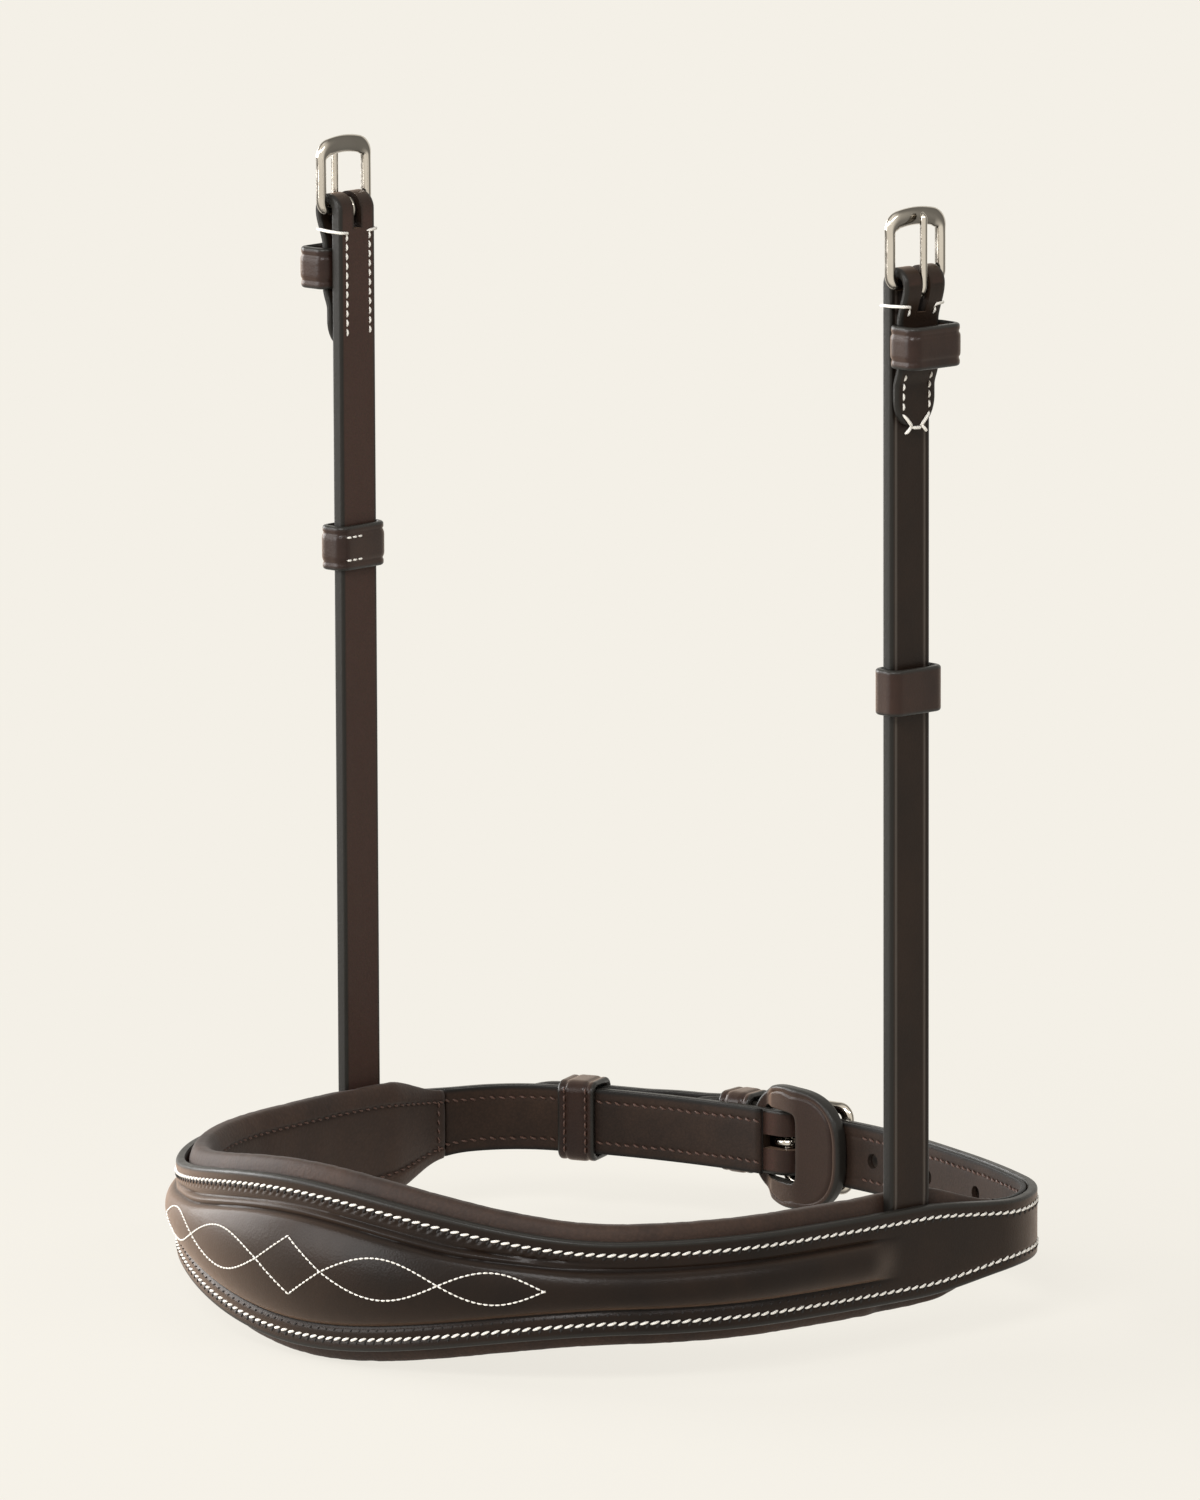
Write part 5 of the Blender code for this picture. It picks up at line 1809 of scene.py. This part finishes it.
@dataclass
class Hanger:
    """A hanger strap with its buckle, keeper, runner and thread.

    Its own frame has X outwards, Y along the band and Z up, from the hinge.
    """

    side: Side
    finishes: Finishes
    runner_at: float
    thick: float = 0.0030
    pivot: float = 0.0150
    bar_z: float = 0.2287
    tab: float = 0.0335
    tab_thick: float = 0.0016
    tab_tip: float = 0.0070
    slot: tuple[float, float, float] = (0.0300, 0.0026, 0.0142)
    slot_rise: float = 0.0027
    low_slot: tuple[float, float, float] = (0.0120, 0.0027, 0.0034)
    low_slot_at: tuple[float, float] = (0.0065, -0.0047)
    bar_radius: float = 0.00125
    keeper_drop: float = 0.0140
    keeper_width: float = 0.0100
    keeper_inner: float = 0.0010
    wall: float = 0.0017
    tunnel: float = 0.0050
    runner_width: float = 0.0108
    runner_play: float = 0.0018
    side_play: float = 0.0004
    buckle_length: float = 0.0150
    tongue: float = 0.0009
    cord_radius: float = 0.40 * MM

    def __post_init__(self) -> None:
        """Works out the places that the pieces share."""
        self.word = self.side.name.lower()
        self.body = f"{self.word}_hanger"
        tail_w = -LEATHER - GAP - TAIL_THICK / 2
        self.hinge = PLAN.frame(self.side.value * HANGER_AT, tail_w, self.pivot)
        self.turn = self.bar_radius + GAP + self.thick / 2
        self.bar = (self.turn, self.bar_z - self.pivot)
        self.tab_low = self.thick / 2 + GAP + self.tab_thick / 2
        self.tab_high = self.thick / 2 + 2 * GAP + self.keeper_inner + self.tab_thick / 2
        self.keeper_z = self.bar[1] - self.keeper_drop

    def at(self, x: float, z: float) -> Matrix:
        """The hanger's frame moved to (x, 0, z)."""
        return self.hinge @ Matrix.Translation((x, 0, z))

    def line(self) -> tuple[Array, Array, Array]:
        """Middle line of the strap in its own frame.

        Returns:
            (points (n, 2) of x and z, thickness (n), way down the tab (n), -1 before it).
        """
        x_bar, z_bar = self.bar
        rise = np.concatenate([np.linspace(-0.010, 0.012, 14), np.linspace(0.0145, z_bar, 90)])
        turn = np.linspace(math.pi, 0, 25)[1:-1]
        body = np.linspace(0, self.tab - 0.0072, 40)
        tip = self.tab - self.tab_tip * np.cos(np.linspace(0, math.pi / 2, 10))
        drop = np.concatenate([body, tip])
        x = np.concatenate([0 * rise, x_bar + self.turn * np.cos(turn), self.tab_middle(drop)])
        z = np.concatenate([rise, z_bar + self.turn * np.sin(turn), z_bar - drop])
        skived = self.tab_thick / self.thick
        share = np.concatenate(
            [0.52 + 0.48 * smoothstep(rise, -0.010, -0.001), np.linspace(1, skived, len(turn)),
             np.full(len(drop), skived)]
        )
        way = np.concatenate([np.full(len(rise) + len(turn), -1.0), drop])
        return np.stack([x, z], -1), self.thick * share, way

    def strap(self) -> None:
        """The strap from between leather and pad, over the bar and down its outer face."""
        points, thick, way = self.line()
        out = Path(points).out
        half = np.full(len(points), HANGER_HALF)
        half = np.where(way >= 0, half * tip_share(self.tab - way, self.tab_tip), half)
        profile = StripProfile(margin=0.0030, rounding=0.0007, centre_rows=7)
        y, d, fall = profile.rows(half)
        before_tab = way[:, None] < 0
        pressed = bump(d, 1.5 * MM, 0.24 * MM) * before_tab
        depth = thick[:, None] / 2 - np.minimum(fall, thick[:, None] * 0.3)
        faces = []
        for distance in (depth - 0.28 * MM * pressed, -depth):
            off = points[:, None] + out[:, None] * distance[..., None]
            faces.append(carried(self.hinge, np.stack([off[..., 0], y, off[..., 1]], -1)))
        # Painted highlight: a thin light line beside each pressed crease; the crease itself gets
        # painted shade
        glint = 0.8 * bump(d, 1.85 * MM, 0.20 * MM) * before_tab
        edge = 1 - smoothstep(d, 0.5 * MM, 1.1 * MM)
        fade = 1 - smoothstep(points[:, 1:], self.bar[1] - 0.002, self.bar[1] + 0.003)
        back = 0.75 * before_tab * fade
        grain = 0.0 * edge
        piece = shell_piece(
            f"{self.body}_leather", *faces, self.finishes.leather,
            marks={"edge": (edge, edge), "flesh": (grain, back * (1 - edge)),
                   "crease": (0.7 * pressed, grain), "glint": (glint, grain)},
        )
        middle = self.at(self.bar[0], self.bar[1] + self.slot_rise)
        # On the tab's side the slot runs lower, so that the lifted tongue has room
        dx, dz = self.low_slot_at
        lower = self.at(self.bar[0] + dx, self.bar[1] + dz)
        cut_away(piece, [(middle, self.slot, 0), (lower, self.low_slot, 0)])
        settle(piece, "", (f"{self.body}_strap", f"{self.body}_tail"))
        x, y, _ = self.hinge.translation
        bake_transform(piece)

    def tab_middle(self, drop: Array) -> Array:
        """How far out the tab's middle lies, by the drop below the buckle's bar.

        Args:
            drop: Distances below the bar.

        Returns:
            Values of X.
        """
        above = -self.keeper_drop + self.keeper_width / 2
        below = -self.keeper_drop - self.keeper_width / 2
        knots = [
            (below - 0.012, self.tab_low), (below - 0.005, self.tab_low),
            (below, self.tab_high), (above, self.tab_high), (0.0, self.bar[0] + self.turn),
        ]
        return through(knots, -drop)

    def threads(self) -> None:
        """Two rows down the tab on both faces, a wrap under the buckle, a tie at the tip."""
        row = ThreadRow(pitch=2.3 * MM, length=1.85 * MM, radius=0.30 * MM, sink=0.2)
        z = np.linspace(self.bar[1] - 0.0052, self.bar[1] - self.tab + 0.0035, 14)
        half_keeper = self.keeper_width / 2
        shown = (z > self.keeper_z + half_keeper, z < self.keeper_z - half_keeper)
        inset = HANGER_HALF - 0.0022
        made = []
        for y in (-inset, inset):
            face = self.tab_middle(self.bar[1] - z) + self.tab_thick / 2
            outer = np.stack([face, 0 * z + y, z], -1)
            inner = np.stack([0 * z - self.thick / 2, 0 * z + y, z], -1)
            for part, way in ((outer[shown[0]], 1.0), (outer[shown[1]], 1.0), (inner, -1.0)):
                if len(part) > 1:
                    normal = np.broadcast_to([way, 0.0, 0.0], part.shape)
                    line = carried(self.hinge, part)
                    made.append(row.stitches(line, carried(self.hinge, normal, 0)))
        made += self.ties()
        thread_piece(f"{self.word}_tab_stitches", made, self.finishes.white, self.body)

    def ties(self) -> list[Array]:
        """The wrap round the edges under the buckle and the cross tie at the tab's tip.

        Returns:
            Rings of each thread, as ThreadRow.stitches gives them.
        """
        z = self.bar[1] - 0.0050
        back = -self.thick / 2
        front = float(self.tab_middle(np.array(0.0052))) + self.tab_thick / 2
        wrap = [
            (back, 0.2, -3.0, -0.3), (back, -0.3, -2.3, -0.2), (back, -0.3, -0.1, 0.0),
            ((back + front) / 2, 0.0, 0.4, 0.2), (front, 0.3, -0.1, 0.4),
            (front, 0.3, -2.0, 0.2), (front, -0.2, -2.5, -0.6),
        ]
        edge = HANGER_HALF
        lines = [
            [(x + dx * MM, sign * (edge + dy * MM), z + dz * MM) for x, dx, dy, dz in wrap]
            for sign in (-1, 1)
        ]
        low = self.bar[1] - self.tab
        x = self.tab_low + self.tab_thick / 2
        u = np.linspace(0, 1, 7)
        above = np.minimum(np.sin(math.pi * u) * 1.6, 1.0) * 0.45 - 0.15
        for y0, z0, y1, z1 in (
            (-4.2, 3.4, -1.2, 0.2), (4.2, 3.4, 1.2, 0.2), (-1.6, 0.4, -3.4, -1.2),
            (1.6, 0.4, 3.2, -1.2), (-1.5, 0.1, 1.5, -0.1),
        ):
            y, rise = y0 + (y1 - y0) * u, z0 + (z1 - z0) * u
            lines.append(list(zip(x + above * MM, y * MM, low + rise * MM)))
        return [self.cord(np.array(line)) for line in lines]

    def cord(self, line: Array) -> Array:
        """A round thread through seven points of the hanger's frame, with its ends drawn in.

        Args:
            line: (7, 3) points.

        Returns:
            Rings, (1, 7, 6, 3).
        """
        along = unit(np.gradient(line, axis=0))
        side = unit(np.cross(along, [0.12, 0.10, 1.0]))
        rise = np.cross(side, along)
        turn = circle(6)[None, :, None]
        size = self.cord_radius * np.array([0.35, 0.95, 1.0, 1.0, 1.0, 0.95, 0.35])
        ring = side[:, None] * np.cos(turn) + rise[:, None] * np.sin(turn)
        return carried(self.hinge, line[:, None] + ring * size[:, None, None])[None]

    def loops(self) -> None:
        """The fixed keeper, and the sliding runner with its white seams."""
        side = HANGER_HALF + self.side_play
        hole_x = self.thick / 2 + GAP + self.keeper_inner
        top = self.tab_high + self.tab_thick / 2 + self.tunnel
        LeatherLoop(
            f"{self.word}_keeper", self.body, self.at(0, self.keeper_z), (hole_x, top, side),
            (self.keeper_inner, self.wall, self.wall), self.keeper_width, self.finishes,
        ).build()
        node = f"{self.word}_runner"
        low, high = -self.thick / 2 - 0.00035, self.thick / 2 + self.runner_play
        runner = LeatherLoop(
            node, node, self.at(0, self.runner_at - self.pivot), (low, high, side),
            (self.wall, self.wall, self.wall), self.runner_width, self.finishes,
            creased=self.side is Side.OFF,
        )
        runner.build()
        sign = self.side.value
        runner.seam(self.finishes.white, -sign * 0.001, -sign * 0.0072, 2.6 * MM, 0.0019)

    def build(self) -> None:
        """Makes the whole hanger, with its buckle on the strap's turn."""
        self.strap()
        self.threads()
        self.loops()
        upright = Matrix(((0, 0, 1), (0, -1, 0), (1, 0, 0))).to_4x4()
        Buckle(
            f"{self.word}_buckle", f"{self.word}_tongue", self.at(*self.bar) @ upright,
            self.buckle_length, HANGER_HALF + self.side_play + self.bar_radius,
            self.bar_radius, self.tongue, self.finishes,
        ).build()


@dataclass
class Studio:
    """Pale floor and air, soft lamps, and the camera where the photograph was taken from."""

    air: str = "f4f0e7"
    fill: float = 0.25
    floor_z: float = -0.0235
    floor_radius: float = 14.0
    azimuth: float = 45.45
    elevation: float = 9.86
    roll: float = -0.225
    distance: float = 3.140
    lens: float = 316.5
    centre: tuple[float, float, float] = (0.0, 0.0049, 0.0)
    aim: tuple[float, float] = (0.0027, 0.10785)
    lit_point: tuple[float, float, float] = (0.0, 0.0, 0.08)

    def camera(self) -> None:
        """Places the camera: right, up and back axes from azimuth, elevation and roll."""
        a, e, r = (math.radians(v) for v in (self.azimuth, self.elevation, self.roll))
        back = Vector((math.sin(a) * math.cos(e), -math.cos(a) * math.cos(e), math.sin(e)))
        level = Vector((math.cos(a), math.sin(a), 0))
        straight = back.cross(level)
        right = level * math.cos(r) + straight * math.sin(r)
        up = back.cross(right)
        data = bpy.data.cameras.new("photograph_view")
        data.sensor_width = 36.0
        data.lens = self.lens
        data.clip_end = 50.0
        camera = linked("photograph_view", data)
        spot = Vector(self.centre) + right * self.aim[0] + up * self.aim[1] + back * self.distance
        camera.matrix_world = pose_of(right, up, back, spot)
        bpy.context.scene.camera = camera

    def seen(self, add: Add) -> Node:
        """1 for camera, glossy and transmission rays, else 0.

        Args:
            add: The call that adds a node.

        Returns:
            The node that holds the share.
        """
        rays = add("LightPath").outputs
        kinds = [rays[f"Is {kind} Ray"] for kind in ("Camera", "Glossy", "Transmission")]
        both = add("Math", {0: kinds[0], 1: kinds[1]}, operation="MAXIMUM")
        return add("Math", {0: both, 1: kinds[2]}, operation="MAXIMUM")

    def world(self) -> None:
        """Pale air for what is seen, and a dimmer fill for the object."""
        world = bpy.data.worlds.new("studio_air")
        world.use_nodes = True
        world.node_tree.nodes.clear()
        add = partial(add_node, world.node_tree)
        strength = add("MapRange", {"Value": self.seen(add), "To Min": self.fill, "To Max": 1.0})
        air = add("Background", {"Color": linear(self.air), "Strength": strength})
        add("OutputWorld", {"Surface": air})
        bpy.context.scene.world = world

    def floor(self) -> None:
        """A wide matt floor that keeps the shadow near the object and melts into the air."""
        mesh = bpy.data.meshes.new("studio_floor")
        tool = bmesh.new()
        bmesh.ops.create_circle(tool, cap_ends=True, segments=96, radius=self.floor_radius)
        tool.to_mesh(mesh)
        tool.free()
        floor = linked("studio_floor", mesh)
        floor.location.z = self.floor_z
        made, add = blank_material("pale_paper")
        place = add("TexCoord").outputs["Object"]
        away = add("VectorMath", {0: place}, operation="LENGTH").outputs["Value"]
        melt = add(
            "MapRange",
            {"Value": away, "From Min": 0.12, "From Max": 0.42, "To Min": 0.86, "To Max": 1.0},
            interpolation_type="SMOOTHSTEP",
        )
        share = add("Math", {0: melt, 1: self.seen(add)}, operation="MULTIPLY")
        paper = add("BsdfDiffuse", {"Color": linear(self.air)})
        glow = add("Emission", {"Color": linear(self.air), "Strength": 1.0})
        add("OutputMaterial", {"Surface": add("MixShader", {0: share, 1: paper, 2: glow})})
        mesh.materials.append(made)

    def lamp(
        self, name: str, place: tuple[float, float, float], size: tuple[float, float], watts: float
    ) -> None:
        """A soft box that faces the middle of the object.

        Args:
            name: The lamp's name.
            place: Where it hangs.
            size: Its width and height.
            watts: Its power.
        """
        data = bpy.data.lights.new(name, "AREA")
        data.shape = "RECTANGLE"
        data.size, data.size_y = size
        data.energy = watts
        spot = Vector(place)
        facing = (spot - Vector(self.lit_point)).to_track_quat("Z", "Y").to_matrix().to_4x4()
        linked(name, data).matrix_world = Matrix.Translation(spot) @ facing

    def build(self) -> None:
        """Sets the whole studio."""
        self.world()
        self.floor()
        for name, place, size, watts in (
            ("key_softbox", (0.80, -1.55, 1.40), (1.0, 0.5), 26.0),
            ("front_softbox", (-0.9, -1.85, 0.55), (1.2, 1.2), 29.0),
            ("left_softbox", (-2.1, -0.55, 0.5), (1.6, 1.4), 60.0),
            ("top_softbox", (0.0, 0.3, 2.1), (1.6, 1.2), 3.0),
            ("right_strip", (1.8, -0.1, 1.35), (1.6, 0.15), 7.0),
        ):
            self.lamp(name, place, size, watts)
        self.camera()
        bpy.context.scene.view_settings.view_transform = "Standard"


def main() -> None:
    """Dresses the frame from the nose outwards and sets the studio."""
    logging.basicConfig(level=logging.INFO, format="%(name)s: %(message)s")
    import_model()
    finishes = Finishes()
    NoseLeather(finishes).build()
    StrapBacking(finishes).build()
    Pad(finishes).build()
    JawClosure(finishes).build()
    Hanger(Side.NEAR, finishes, runner_at=0.1335).build()
    Hanger(Side.OFF, finishes, runner_at=0.1470).build()
    Studio().build()


if __name__ == "__main__":
    main()
